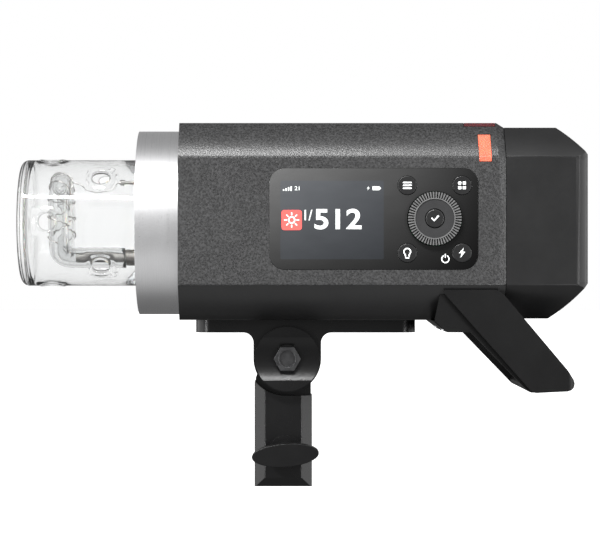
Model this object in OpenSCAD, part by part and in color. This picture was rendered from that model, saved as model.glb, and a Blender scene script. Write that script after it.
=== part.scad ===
// Studio flash head with a clear tube cover, a tilting stand bracket, a carry
// handle and a battery pack that slides off the rear.
// Axes: +X towards the battery, +Z up, the control side faces -Y.
// Origin: centre of the accessory collar's front rim. Millimetres.

/* [Housing] */
// Width across the two sides
housing_w = 115; // [114:0.5:118]
// Height
housing_h = 104.4; // [103.2:0.2:107]
// Length from the collar to the battery seam
housing_l = 171.7; // [171:0.1:176]
// Size of the four long chamfers
chamfer = 18.6; // [17:0.2:20]
// Thickness of the casing wall
wall = 2.4; // [2:0.1:2.6]

/* [Collar and glass] */
// Outside diameter of the accessory collar
collar_d = 99.5; // [98.5:0.1:100.5]
// Length of the collar
collar_l = 23.3; // [22:0.1:26]
// Outside diameter of the clear cover
glass_d = 68.3; // [67:0.1:69]
// How far the clear cover stands in front of the collar
glass_out = 64; // [62:0.5:72]
// Wall of the clear cover
glass_wall = 1.8; // [1.5:0.1:2.2]
// Thickness of the clear cover's front
glass_front = 4.6; // [3:0.1:6]
// Diameter of its vent holes
vent_d = 9.4; // [6:0.2:10]

/* [Flash tube] */
// Radius of the ring, to the middle of the glass tube
loop_r = 20.6; // [19:0.1:22]
// Radius of the glass tube
tube_r = 5.4; // [4.8:0.1:5.6]
// How far the ring stands in front of the collar
loop_out = 42.3; // [38:0.1:46]

/* [Controls] */
// Length of the gloss control panel
panel_l = 109.2; // [107:0.2:111]
// Height of the panel
panel_h = 52.9; // [52:0.1:55]
// Diameter of the control dial
dial_d = 27.9; // [27:0.1:28.5]
// Number of grooves round the dial
dial_grooves = 56; // [40:2:64]
// Diameter of the round buttons
button_d = 9.9; // [9:0.1:10.2]
// How far a button travels
button_travel = 0.7; // [0.3:0.1:0.8]

/* [Bracket] */
// Length of the plate under the housing
plate_l = 118.5; // [116:0.5:122]
// Thickness of the plate
plate_t = 7; // [6:0.1:7.2]
// Width of the ears
ear_w = 36.4; // [35:0.2:37]
// Height from the optical axis down to the tilt pivot
pivot_drop = 73.4; // [73:0.1:75]
// Diameter of the round cap on the pivot
cap_d = 34.7; // [33:0.1:35]

/* [Stand receiver] */
// Width of the receiver, along the optical axis
receiver_w = 31.1; // [30:0.1:31.4]
// Depth of the receiver, across the optical axis
receiver_t = 32; // [31:0.5:34]
// Height from the pivot to the receiver's lower end
receiver_drop = 69.2; // [68:0.1:74]
// Radius of the socket for a 5/8 inch stud
socket_r = 8.1; // [8:0.05:8.3]
// Depth of the socket
socket_l = 38; // [36:0.5:40]
// Width of the clamp knob's paddle
paddle_w = 35.5; // [30:0.5:38]

/* [Handle] */
// Distance between the outer faces of the two arms
handle_w = 114; // [112:0.5:114]
// Thickness of each arm
arm_t = 8; // [6:0.5:9]

/* [Battery] */
// Length of the pack behind the seam
battery_l = 43.5; // [43:0.1:47]
// How far its top lies below the housing's top
battery_step = 2.6; // [2:0.1:3]

/* [Hidden] */
$fn = 64;
gap = 0.15;
eps = 0.01;
charcoal = "#47484a";
black = "#1d1d1f";
steel = "#9a9da1";
board_green = "#1f5a3c";

// Housing
hw = housing_w / 2;
hh = housing_h / 2;
x_front = collar_l;
x_rear = x_front + housing_l;
crease_r = 1.6;
seam_z = chamfer - hh;
bevel_run = 4;
ring_seat_r = 45;
floor_z = wall - hh;
roof_z = hh - wall;

slant = (hw + hh - chamfer) / sqrt(2);

// Collar, socket and clear cover
plate_front = x_front + wall + 0.1;
flange_r = 40;
ring_screw_r = 43;
ring_angles = [45, 135, 225, 315];
socket_face = 8;
glass_back = 6;
vent_front = -47.5;
vent_rear = -19.5;

// Flash tube: where its ends bend back into two legs
loop_z = 1.3;
loop_open = 38;
elbow_r = 6.4;
leg_y = loop_r * sin(loop_open) - elbow_r * cos(loop_open);
leg_z = loop_z - loop_r * cos(loop_open) - elbow_r * sin(loop_open);
leg_end = -6;

// Control panel
panel_x = x_rear - 69.2;
panel_z = 0.95;
panel_proud = 0.3;
panel_skin = 1.3;
panel_face = -hw - panel_proud;
panel_back = wall - hw;
dial_x = panel_x + 31.8;
dial_z = panel_z + 0.15;
button_dx = 14.3;
button_up = 17.5;
button_down = -17.8;
set_d = 9.8;
board_y = -48;
board_t = 1.6;
screen_x = panel_x - 21.8;
screen_l = 64;
screen_h = 45;

// Lights on the shell
bar_x = x_rear - 14;
bar_l = 6.5;
bar_top = hh - 6.6;
bar_low = hh - 21.2;
window_x = x_rear - 21;
window_l = 16.5;
window_low = hh - 2;

// Bracket and receiver
plate_top = -hh - gap;
plate_low = plate_top - plate_t;
plate_x = x_front + 7.7;
pivot = [x_front + 57.1, -pivot_drop];
ear_in = 9.5;
ear_t = 8;
ear_out = ear_in + ear_t;
plate_w = 2 * ear_out;
tongue_t = 16;
washer_t = 1.3;
bolt_r = 4;
cap_t = 4.4;
head_seat = -ear_out - cap_t + 2.7;
receiver_x = pivot.x - 2.2;
receiver_low = pivot.y - receiver_drop;
knob_z = receiver_low + 19.1;
knob_x = receiver_x + 1.3;
screw_r = 3;
shoe_r = 4;
shoe_t = 2.5;
shoe_back = 11.5;
lever_y = ear_out + 1;
lever_hub = 10;

// Battery
seam_gap = 0.25;
pack_x = x_rear + seam_gap;
pack_end = x_rear + battery_l;
pack_top = hh - battery_step;
pack_low = 0.7 - hh;
pack_wall = 2.2;
pack_nose = 5.5;
nose_w = 90;
nose_h = 58;
nose_wall = 2;
nose_x = pack_x - pack_nose;
cell_d = 18.3;
cell_l = 64;
cell_pitch = 18.7;
bulkhead_x = x_rear - 12;
bulkhead_t = 3;

// Pack controls
latch_x = pack_x + 17;
latch_l = 16;
latch_h = 9.6;
hook_y = 49.7;
hook_h = 8;
light_z = 4;
light_spots = [-12, -4, 4, 12];
level_z = -8;
level_r = 4.8;

// Electronics
board_low = -41;
cap_r = 17;
bank_l = 80;
bank_x = x_front + 16;
fan_x = x_front + 87;
fan_size = 60;
fan_t = 14;
fan_bore = 28;
port_x = x_rear - 30;
jack_x = port_x - 7;
usb_x = port_x + 7;
flap_l = 27.6;
flap_h = 14.6;
flap_t = 1.8;
lock_x = x_front + 24;
lock_l = 14;
lock_h = 8;
lock_travel = 4;
lock_y = 42;

// Screws
screw_x = x_rear - 25;
screw_y = 46;
screw_seat = seam_z - 5.2;
bracket_holes = [for (x = [8, plate_l - 8], y = [-12.5, 12.5]) [plate_x + x, y]];
handle_holes = [for (x = [-30, -19], y = [-30, 30]) [x_rear + x, y]];

// ---- Shared shapes ----

// Arc of radius r that replaces corner b of the path a, b, c
function corner(a, b, c, r, n) =
    let (
        u = (a - b) / norm(a - b),
        v = (c - b) / norm(c - b),
        half = acos(u * v) / 2,
        centre = b + (u + v) / norm(u + v) * (r / sin(half)),
        start = b + u * (r / tan(half)) - centre,
        end = b + v * (r / tan(half)) - centre,
        from = atan2(start.y, start.x),
        sweep = (atan2(end.y, end.x) - from + 540) % 360 - 180
    )
    [for (i = [0:n]) centre + r * [cos(from + sweep * i / n), sin(from + sweep * i / n)]];

// Closed outline with every corner rounded; r is one radius or one per corner
function rounded(pts, r, n = 4) =
    [for (i = [0:len(pts) - 1])
        let (
            last = pts[(i + len(pts) - 1) % len(pts)],
            next = pts[(i + 1) % len(pts)],
            radius = is_list(r) ? r[i] : r
        )
        each radius > 0 ? corner(last, pts[i], next, radius, n) : [pts[i]]];

// Bulging stretch between a and b, an arc of radius r on the left of the way
function bulge(a, b, r, n = 6) =
    let (
        mid = (a + b) / 2,
        half = norm(b - a) / 2,
        side = [b.y - a.y, a.x - b.x] / (2 * half),
        centre = mid - side * sqrt(r * r - half * half),
        from = atan2(a.y - centre.y, a.x - centre.x),
        sweep = (atan2(b.y - centre.y, b.x - centre.x) - from + 540) % 360 - 180
    )
    [for (i = [0:n]) centre + r * [cos(from + sweep * i / n), sin(from + sweep * i / n)]];

// Section w wide, from low to high, with its corners cut back
function octagon(w, low, high, cut_low, cut_high) = [
    [w / 2, low + cut_low], [w / 2, high - cut_high],
    [w / 2 - cut_high, high], [cut_high - w / 2, high],
    [-w / 2, high - cut_high], [-w / 2, low + cut_low],
    [cut_low - w / 2, low], [w / 2 - cut_low, low]
];

// Children drawn in Y and Z, pushed along X
module along_x(x, l) {
    translate([x, 0, 0]) rotate([90, 0, 90]) linear_extrude(l) children();
}

// Children drawn in X and Z, pushed along Y
module along_y(y, l) {
    translate([0, y + l, 0]) rotate([90, 0, 0]) linear_extrude(l) children();
}

// Children drawn in X and Z, as two plates whose faces are in and out from the middle
module both_sides(in, out) {
    for (y = [in, -out]) along_y(y, out - in) children();
}

module rod_x(r, x, l) {
    translate([x, 0, 0]) rotate([0, 90, 0]) cylinder(h = l, r = r);
}

module rod_y(r, y, l) {
    translate([0, y + l, 0]) rotate([90, 0, 0]) cylinder(h = l, r = r);
}

module rod_y_at(x, z, r, y, l) {
    translate([x, 0, z]) rod_y(r, y, l);
}

// Solid of revolution about X; each point is [radius, x]
module turned_x(pts) {
    rotate([0, 90, 0]) rotate_extrude($fn = 128) polygon(pts);
}

module box(low, high) {
    translate(low) cube(high - low);
}

// Rounded rectangle made of exact circles and squares
module pill(w, h, r) {
    square([w - 2 * r, h], center = true);
    square([w, h - 2 * r], center = true);
    for (x = [-1, 1], y = [-1, 1])
        translate([x * (w / 2 - r), y * (h / 2 - r)]) circle(r = r);
}

// What is left of a chamfer when its section is inset by t
function inset_cut(cut, t) = cut - (2 - sqrt(2)) * t;

// Socket-head screw from low up, with its head at the bottom
module screw_up(head_r, head_h, shank_r, shank_h) {
    difference() {
        union() {
            cylinder(h = head_h, r = head_r);
            cylinder(h = head_h + shank_h, r = shank_r);
        }
        translate([0, 0, -1]) cylinder(h = 1 + head_h * 0.6, r = head_r * 0.5, $fn = 6);
    }
}

// Section of the housing, inset by t
module section(t = 0) {
    cut = inset_cut(chamfer, t);
    polygon(rounded(octagon(housing_w - 2 * t, t - hh, hh - t, cut, cut), max(crease_r - t, 0.4)));
}

// ---- Casing ----

// Plane cuts that take the casing's rear edge down to the battery's size
module rear_bevel() {
    faces = [
        [0, hh, battery_step], [45, slant, 1.2], [-45, slant, 1.2],
        [90, hw, 0.5], [-90, hw, 0.5], [180, hh, 0.7], [135, slant, 0.7], [-135, slant, 0.7]
    ];
    for (f = faces)
        rotate([f[0], 0, 0])
            translate([x_rear - bevel_run, -housing_w, f[1]])
                rotate([0, atan2(f[2], bevel_run), 0])
                    cube([3 * bevel_run, 2 * housing_w, 9]);
}

// Both halves of the casing before they are parted at the seam
module casing() {
    difference() {
        along_x(x_front, housing_l) section();
        along_x(x_front + wall, housing_l) section(wall);
        rod_x(ring_seat_r, x_front - 1, wall + 2);
        rear_bevel();
    }
}

module panel_outline(grow = 0) {
    translate([panel_x, panel_z]) pill(panel_l + 2 * grow, panel_h + 2 * grow, 8 + grow);
}

// Region of the shell taken by the coral bar
module bar_cut(grow = 0) {
    box([bar_x - grow, -hw - 1, bar_low - grow], [bar_x + bar_l + grow, 0, bar_top + grow]);
}

// Region of the shell taken by the red window
module window_cut(grow = 0) {
    box([window_x - grow, -hw, window_low - grow], [window_x + window_l + grow, hw, hh + 1]);
}

// Bosses for the casing screws, on the shell's side of the seam
module shell_bosses() {
    for (s = [0, 1])
        mirror([0, s, 0])
            difference() {
                box([screw_x - 5, screw_y - 5, seam_z + gap], [screw_x + 5, hw - wall / 2, seam_z + 5]);
                translate([screw_x, screw_y, seam_z - 1]) cylinder(h = 7, r = 1.6);
            }
}

module housing_shell() {
    vents = 9;
    vent_pitch = 5.6;
    color(charcoal)
    difference() {
        union() {
            casing();
            shell_bosses();
        }
        box([0, -hw - 1, -hh - 1], [x_rear + 1, hw + 1, seam_z + gap / 2]);
        along_y(-hw - 1, wall + 1 + eps) panel_outline(gap);
        bar_cut(gap);
        window_cut(gap);
        for (i = [0:vents - 1])
            along_y(hw - wall - 1, wall + 2)
                translate([fan_x + (i - (vents - 1) / 2) * vent_pitch, 0]) pill(2.6, 46, 1.29);
        along_y(hw - flap_t, wall) translate([port_x, 0]) pill(flap_l + 2 * gap, flap_h + 2 * gap, 3);
        rod_y_at(jack_x, 0, 3.6, hw - wall - 1, wall + 1);
        along_y(hw - wall - 1, wall + 1) translate([usb_x, 0]) pill(10, 4.2, 1);
        along_y(hw - wall - 1, wall + 2)
            translate([lock_x + lock_travel / 2, 0])
                pill(lock_l + lock_travel + 2 * gap, lock_h + 2 * gap, 3);
    }
}

module bottom_cover() {
    lip_t = 1.2;
    intakes = 9;
    intake_pitch = 5.6;
    color(black)
    difference() {
        union() {
            intersection() {
                casing();
                box([0, -hw - 1, -hh - 1], [x_rear + 1, hw + 1, seam_z - gap / 2]);
            }
            // Lip that laps inside the shell above the seam
            for (band = [[wall - gap, seam_z - 3, seam_z - gap / 2],
                         [wall + gap, seam_z - 1, seam_z + 2.5]])
                intersection() {
                    difference() {
                        along_x(x_front + 9, housing_l - 24) section(band[0]);
                        along_x(x_front + 8, housing_l - 22) section(wall + gap + lip_t);
                    }
                    box([0, -hw, band[1]], [x_rear, hw, band[2]]);
                }
            for (s = [-1, 1])
                intersection() {
                    translate([screw_x, s * screw_y, -hh]) cylinder(h = seam_z - gap / 2 + hh, r = 5);
                    along_x(screw_x - 6, 12) section(wall / 2);
                }
            for (p = bracket_holes)
                translate([p.x, p.y, -hh + 1]) cylinder(h = 8.5, r = 3.6);
            for (p = handle_holes)
                translate([p.x, p.y, -hh + 1]) cylinder(h = 7, r = 4.2);
        }
        for (s = [0, 1])
            mirror([0, s, 0]) {
                translate([screw_x, screw_y, -hh - 1]) {
                    cylinder(h = hh + 3 + seam_z, r = 1.75);
                    cylinder(h = screw_seat + hh + 1.1, r = 3.3);
                }
                box([screw_x - 5.4, hw - 12.5, seam_z - gap / 4], [screw_x + 5.4, hw + 0.5, seam_z + 4]);
            }
        for (p = bracket_holes)
            translate([p.x, p.y, -hh - 1]) cylinder(h = 9, r = 2.1);
        for (p = handle_holes)
            translate([p.x, p.y, -hh - 1]) cylinder(h = 8, r = 1.65);
        for (i = [0:intakes - 1])
            rotate([-135, 0, 0])
                translate([fan_x + (i - (intakes - 1) / 2) * intake_pitch, 0, slant])
                    cube([2.4, 13, 8], center = true);
    }
}

// Plate behind the casing's front face, which the collar bolts to
module front_plate() {
    color(steel)
    difference() {
        along_x(plate_front, 4) section(wall + gap);
        rod_x(36, plate_front - 1, 6);
        for (a = ring_angles) rotate([a, 0, 0]) translate([0, 0, ring_screw_r]) rod_x(1.6, 0, 60);
        translate([0, lock_y, 0]) rod_x(2.4, 0, 60);
    }
}

// ---- Collar and light source ----

module mount_ring() {
    inner = collar_d / 2 - 3.75;
    lug_sweep = 40;
    color("#c9cbcd")
    difference() {
        union() {
            turned_x([
                [collar_d / 2, 0], [collar_d / 2, collar_l], [ring_seat_r - gap, collar_l],
                [ring_seat_r - gap, plate_front - gap], [flange_r, plate_front - gap],
                [flange_r, collar_l - 3.3], [inner, collar_l - 3.3], [inner, 0]
            ]);
            for (a = [0, 120, 240])
                rotate([0, 90, 0])
                    rotate([0, 0, a])
                        rotate_extrude(angle = lug_sweep) translate([inner - 2, 2]) square([2.5, 3]);
        }
        for (a = ring_angles) rotate([a, 0, 0]) translate([0, 0, ring_screw_r]) rod_x(1.6, 0, 60);
        translate([0, lock_y, 0]) rod_x(2.4, 10, 60);
    }
}

module ring_screws() {
    color(steel)
    for (a = ring_angles)
        rotate([a, 0, 0])
            translate([0, 0, ring_screw_r])
                difference() {
                    union() {
                        rod_x(1.45, collar_l - 3.4, 9.5);
                        rod_x(2.7, collar_l - 5.9, 2.5);
                    }
                    translate([collar_l - 6, 0, 0]) rotate([0, 90, 0]) cylinder(h = 1.6, r = 1.4, $fn = 6);
                }
}

// Sliding button on the far side, with the pin that locks an accessory in the collar
module lock_slider() {
    plate_in = hw - wall - 4;
    arm_x = lock_x - 13;
    color(black)
    difference() {
        union() {
            box([lock_x - 14, plate_in, -7], [lock_x + 12, hw - wall - gap, 7]);
            along_y(hw - wall - 0.5, wall + 1.5) translate([lock_x, 0]) pill(lock_l, lock_h, 2.85);
            box([arm_x - 1, lock_y - 3, -4], [arm_x + 2.5, plate_in + 1, 4]);
            translate([0, lock_y, 0]) rod_x(2.1, collar_l - 9, arm_x - collar_l + 9);
        }
        for (i = [-2:2])
            box([lock_x + 2.4 * i - 0.5, hw + 0.5, -3], [lock_x + 2.4 * i + 0.5, hw + 2, 3]);
    }
}

// Identical screws: two under the arms join the casing's halves, four hold the handle
module case_screws() {
    head_h = 2.2;
    seats = concat(
        [for (s = [-1, 1]) [screw_x, s * screw_y, screw_seat]],
        [for (p = handle_holes) [p.x, p.y, -hh - 3.4]]
    );
    color(steel)
    for (p = seats) translate([p.x, p.y, p.z - head_h]) screw_up(3, head_h, 1.45, 10);
}

module glass_cover() {
    r = glass_d / 2;
    base_wall = glass_wall + 1.8;
    outline = rounded([
        [0, -glass_out], [r, -glass_out], [r, glass_back], [r - base_wall, glass_back],
        [r - base_wall, -8], [r - glass_wall, -11], [r - glass_wall, glass_front - glass_out],
        [0, glass_front - glass_out]
    ], [0, 4, 0.8, 0.8, 2, 2, 3, 0], 6);
    color("#dfe8ea", 0.35)
    difference() {
        turned_x(outline);
        for (row = [[vent_front, 0], [vent_rear, 45]], a = [0:90:270])
            rotate([a + row[1], 0, 0])
                translate([row[0], 0, r - 8]) cylinder(h = 12, r = vent_d / 2);
    }
}

// Leaf springs that hold the clear cover's base
module glass_clips() {
    r = glass_d / 2 + 0.2;
    color(steel)
    for (a = [60, 180, 300])
        rotate([a, 0, 0]) {
            box([0, -4, r], [socket_face - gap, 4, r + 0.6]);
            box([socket_face - 0.8, -4, r], [socket_face - gap, 4, r + 4]);
        }
}

// The flash tube's form: a ring open at the bottom, whose ends turn back as two
// legs. A bead closes the small space between one bend and the next.
module tube_path(r) {
    bead_r = r + 0.15;
    leg_x = elbow_r - loop_out;
    leg_l = leg_end - leg_x - 0.4;
    translate([-loop_out, 0, loop_z])
        rotate([0, 90, 0])
            rotate([0, 0, loop_open + 1])
                rotate_extrude(angle = 358 - 2 * loop_open) translate([loop_r, 0]) circle(r = r);
    for (side = [0, 1])
        mirror([0, side, 0]) {
            translate([leg_x, loop_r * sin(loop_open), loop_z - loop_r * cos(loop_open)])
                rotate([loop_open, 0, 0]) {
                    rotate([0, 0, 183]) rotate_extrude(angle = 84) translate([elbow_r, 0]) circle(r = r);
                    translate([-elbow_r, 0, 0]) rotate([90, 0, 0]) sphere(r = bead_r);
                }
            translate([leg_x, leg_y, leg_z]) rotate([0, 90, 0]) sphere(r = bead_r);
            translate([0, leg_y, leg_z]) rod_x(r, leg_x + 0.4, leg_l + (r < tube_r ? 1 : 0));
        }
}

module flash_tube() {
    color("#e9eff0", 0.4)
    difference() {
        tube_path(tube_r);
        tube_path(tube_r - 1.3);
    }
}

module electrodes() {
    color("#35322f")
    for (s = [-1, 1])
        translate([0, s * leg_y, leg_z]) {
            rod_x(2.6, elbow_r - loop_out + 2, loop_out - elbow_r + leg_end);
            rod_x(4.2, leg_end + gap, socket_face + 4 - leg_end);
        }
}

// Thin ignition wire wound round the ring, and the post that feeds it
module trigger_wire() {
    wire_r = 0.35;
    turn_r = tube_r + wire_r + gap;
    back_x = tube_r + 2 * wire_r + gap - loop_out;
    top_z = loop_z + loop_r;
    color("#6d6a66") {
        translate([back_x, 0, loop_z])
            rotate([0, 90, 0])
                rotate([0, 0, 60])
                    rotate_extrude(angle = 240) translate([loop_r, 0]) circle(r = wire_r, $fn = 16);
        for (a = [90:30:270])
            translate([-loop_out, 0, loop_z])
                rotate([a, 0, 0])
                    translate([0, 0, -loop_r])
                        rotate([90, 0, 0])
                            rotate_extrude() translate([turn_r, 0]) circle(r = wire_r, $fn = 16);
        translate([0, 0, top_z]) {
            rod_x(wire_r * 1.2, back_x - 0.2, -10 - back_x);
            rod_x(1, -11, socket_face + 15);
            box([-11.5, -1.6, -2.6], [-8.5, 1.6, 2.6]);
        }
    }
}

module tube_socket() {
    color("#e8e4da")
    difference() {
        union() {
            rod_x(32, socket_face, collar_l - 3.3 - socket_face + eps);
            rod_x(flange_r - 0.4, collar_l - 3.3, plate_front - gap - collar_l + 3.3);
            rod_x(35.8, plate_front - gap - eps, 4.5);
        }
        for (s = [-1, 1]) translate([0, s * leg_y, leg_z]) rod_x(4.5, 0, 60);
        translate([0, 0, loop_z + loop_r]) rod_x(1.2, 0, 60);
        for (a = [0:60:300])
            rotate([a, 0, 0]) translate([0, 0, 27.5]) rod_x(1.6, socket_face - 1, 5);
    }
}

// Shallow bright dish between the socket and the collar
module reflector_dish() {
    lip = collar_d / 2 - 6.4;
    color("#e4e6e8")
    turned_x([
        [32.2, collar_l - 5.2], [flange_r - 0.4, socket_face + 1.2], [lip, socket_face + 1.2],
        [lip, socket_face], [flange_r - 1, socket_face], [32.2, collar_l - 6.6]
    ]);
}

// LED with its round board and domed lens
module modelling_lamp() {
    dome = 9;
    color("#f2e6b0") {
        rod_x(9.5, socket_face - 1.7, 1.6);
        intersection() {
            translate([socket_face - 1.7 + 4.5, 0, 0]) sphere(r = dome);
            rod_x(7, socket_face - 8, 6.4);
        }
    }
}

module tube_leads() {
    lead_r = 1.1;
    down_x = plate_front + 8;
    floor_run = [down_x, leg_y, -hh + 6.2];
    board_x = x_front + 108;
    color("#b3352b")
    for (s = [0, 1])
        mirror([0, s, 0]) {
            translate([0, leg_y, leg_z]) rod_x(lead_r, socket_face + 4.5, down_x - socket_face - 4.5);
            translate([down_x, leg_y, floor_run.z]) cylinder(h = leg_z - floor_run.z, r = lead_r);
            translate([down_x, leg_y, leg_z]) sphere(r = lead_r);
            translate(floor_run) sphere(r = lead_r);
            translate([0, leg_y, floor_run.z]) rod_x(lead_r, down_x, board_x - down_x);
            translate([board_x, leg_y, floor_run.z]) sphere(r = lead_r);
            translate([board_x, leg_y, floor_run.z])
                cylinder(h = board_low - gap - floor_run.z, r = lead_r);
        }
}

// ---- Controls ----

// Centres of the four round buttons, in X and Z
function button_at(side, up) = [dial_x + side * button_dx, panel_z + (up ? button_up : button_down)];
button_spots = [for (side = [-1, 1], up = [false, true]) button_at(side, up)];

module control_panel() {
    color("#0d0d0f")
    difference() {
        union() {
            along_y(panel_face, panel_back - gap - panel_face) panel_outline();
            along_y(panel_back + gap, 1.6) panel_outline(2.4);
            along_y(panel_back - gap - eps, 2 * gap + 2 * eps) panel_outline(-1);
        }
        along_y(panel_face + panel_skin, 10)
            translate([screen_x, panel_z]) square([screen_l + 2 * gap, screen_h + 2 * gap], center = true);
        rod_y_at(dial_x, dial_z, dial_d / 2 + 0.4, panel_face - 1, 10);
        for (b = button_spots) rod_y_at(b.x, b.y, button_d / 2 + gap, panel_face - 1, 10);
    }
}

module display_module() {
    front = panel_face + panel_skin + 0.1;
    color("#15181c")
    difference() {
        along_y(front, 6) translate([screen_x, panel_z]) pill(screen_l, screen_h, 1);
        along_y(front + 5, 2)
            translate([screen_x, panel_z]) square([screen_l - 8, screen_h - 8], center = true);
    }
}

// Circuit board with a switch behind each button
module control_board() {
    color(board_green) {
        difference() {
            along_y(board_y, board_t) translate([panel_x, panel_z]) pill(panel_l - 6, panel_h - 6, 3);
            for (x = [-1, 1] * (panel_l / 2 - 7), z = [-1, 1] * (panel_h / 2 - 7))
                rod_y_at(panel_x + x, panel_z + z, 1.6, board_y - 1, 4);
        }
        for (b = concat(button_spots, [[dial_x, dial_z]])) {
            box([b.x - 3, board_y - 2.6, b.y - 3], [b.x + 3, board_y + eps, b.y + 3]);
            rod_y_at(b.x, b.y, 1.7, board_y - 3.4, 1);
        }
        box([screen_x - 12, board_y + board_t - eps, panel_z - 8],
            [screen_x + 12, board_y + board_t + 1.6, panel_z + 8]);
        for (z = [panel_z - 18, panel_z + 14])
            box([screen_x + 20, board_y + board_t - eps, z], [screen_x + 40, board_y + board_t + 4, z + 5]);
    }
}

// Jog dial: grooved rim, dished face, hub that turns the encoder
module control_dial() {
    r = dial_d / 2;
    face = panel_face - 3;
    color("#202022")
    difference() {
        union() {
            rod_y_at(dial_x, dial_z, r, face, 2.6);
            rod_y_at(dial_x, dial_z, 8.5, face + 2, 7.2);
        }
        rod_y_at(dial_x, dial_z, set_d / 2 + 0.3, face - 1, 12);
        rod_y_at(dial_x, dial_z, 6.6, face + 2.6, 12);
        rod_y_at(dial_x, dial_z, r - 3.8, face - 1, 1.5);
        translate([dial_x, 0, dial_z])
            for (i = [0:dial_grooves - 1])
                rotate([0, i * 360 / dial_grooves, 0])
                    box([r - 3.2, face - 1, -0.35], [r + 1, face + 0.7, 0.35]);
    }
}

module dial_encoder() {
    color("#3a3d42")
    difference() {
        rod_y_at(dial_x, dial_z, 12.4, board_y - 4.8, 4.75);
        rod_y_at(dial_x, dial_z, 8.7, board_y - 6, 4.6);
        rod_y_at(dial_x, dial_z, 5.2, board_y - 6, 8);
    }
}

module set_button() {
    color("#2a2a2c") {
        rod_y_at(dial_x, dial_z, set_d / 2, panel_face - 2.9, 3.1);
        rod_y_at(dial_x, dial_z, 6.3, panel_face + 0.1, board_y - 4.5 - panel_face - 0.1);
    }
}

// Round button at p, held behind the panel by its flange
module round_button(p) {
    color("#1a1a1c") {
        rod_y_at(p.x, p.y, button_d / 2, panel_face - 0.4, 5.2);
        rod_y_at(p.x, p.y, button_d / 2 + 0.8, panel_back + 1.9, 1);
    }
}

module menu_button() {
    round_button(button_at(-1, true));
}

module mode_button() {
    round_button(button_at(1, true));
}

module lamp_button() {
    round_button(button_at(-1, false));
}

module flash_button() {
    round_button(button_at(1, false));
}

module indicator_bar() {
    color("#ef5b3a")
    intersection() {
        difference() {
            along_x(bar_x, bar_l) section(-0.25);
            along_x(bar_x - 1, bar_l + 2) section(wall);
        }
        bar_cut();
    }
}

module sensor_window() {
    color("#4a0f14")
    intersection() {
        difference() {
            along_x(window_x, window_l) section();
            along_x(window_x - 1, window_l + 2) section(wall);
        }
        window_cut();
    }
}

module light_sensor() {
    x = window_x + 4.3;
    color("#24384a") {
        box([x - 4.5, -9, roof_z - 6], [x + 4.5, 9, roof_z - 4.6]);
        translate([x, 0, roof_z - 4.7]) cylinder(h = 3, r = 3);
        translate([x, 0, roof_z - 1.7]) sphere(r = 1.5);
        for (y = [-7, 7]) translate([x, y, roof_z - 4.7]) cylinder(h = 4.6, r = 1.5);
    }
}

module radio_module() {
    x = x_rear - 46;
    color("#2b4f7a") {
        box([x, -16, roof_z - 6], [x + 20, 12, roof_z - 4.4]);
        box([x + 3, -12, roof_z - 7.8], [x + 15, 4, roof_z - 5.9]);
        for (y = [-13, 9]) translate([x + 10, y, roof_z - 4.5]) cylinder(h = 4.4, r = 1.8);
    }
}

// ---- Power electronics ----

bank_spots = [for (y = [-22, 14.5], z = [-12, 25.5]) [y, z]];

module capacitor_bank() {
    color("#33405c")
    for (c = bank_spots)
        translate([0, c.x, c.y])
            difference() {
                union() {
                    rod_x(cap_r, bank_x, bank_l);
                    for (y = [-5, 5]) translate([0, y, 0]) rod_x(3, bank_x + bank_l - eps, 3);
                }
                rotate([0, 90, 0]) translate([0, 0, bank_x + bank_l - 4])
                    rotate_extrude() translate([cap_r, 0]) circle(r = 0.9, $fn = 16);
            }
}

// Two drilled plates on feet that carry the capacitors
module capacitor_frame() {
    color(black)
    for (x = [bank_x + 10, bank_x + bank_l - 22])
        difference() {
            union() {
                along_x(x, 3) polygon(rounded([[34.5, -33], [34.5, 45], [-41, 45], [-41, -33]], 5));
                for (y = [-36, 24]) box([x, y, floor_z + gap], [x + 3, y + 9, -30]);
            }
            for (c = bank_spots) translate([0, c.x, c.y]) rod_x(cap_r + gap, x - 1, 5);
        }
}

module main_board() {
    x = x_front + 100;
    color(board_green)
    difference() {
        union() {
            box([x, -36, board_low], [x + 56, 36, board_low + 1.6]);
            box([x + 3, -33, board_low + 1.5], [x + 15, -12, board_low + 12]);
            for (y = [-28, -14, 0]) translate([x + 48, y, board_low + 1.5]) cylinder(h = 14, r = 5);
        }
        for (i = [5, 51], y = [-32, 32]) translate([x + i, y, board_low - 1]) cylinder(h = 4, r = 1.6);
    }
}

module charge_transformer() {
    x = x_front + 118;
    base = board_low + 1.6 + gap;
    color("#8a6a2c") {
        box([x, -30, base], [x + 22, -2, base + 5]);
        box([x, -30, base + 19], [x + 22, -2, base + 24]);
        box([x + 6, -28, base + 4], [x + 16, -4, base + 20]);
    }
}

module heat_sink() {
    x = x_front + 104;
    base = board_low + 1.6 + gap;
    color("#b9bcc0") {
        box([x, 24, base], [x + 44, 27, base + 26]);
        for (i = [0:8]) box([x + 5 * i, 26, base + 6], [x + 5 * i + 1.5, 34, base + 24]);
    }
}

module power_transistors() {
    x = x_front + 107;
    base = board_low + 1.6 + gap;
    color("#1b1b1d")
    for (i = [0:2])
        translate([x + 14 * i, 0, base]) {
            box([0, 19, 3], [10, 23.85, 18]);
            for (j = [1.5, 4.5, 7.5]) box([j, 21, 0], [j + 1, 22, 3.5]);
        }
}

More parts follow.
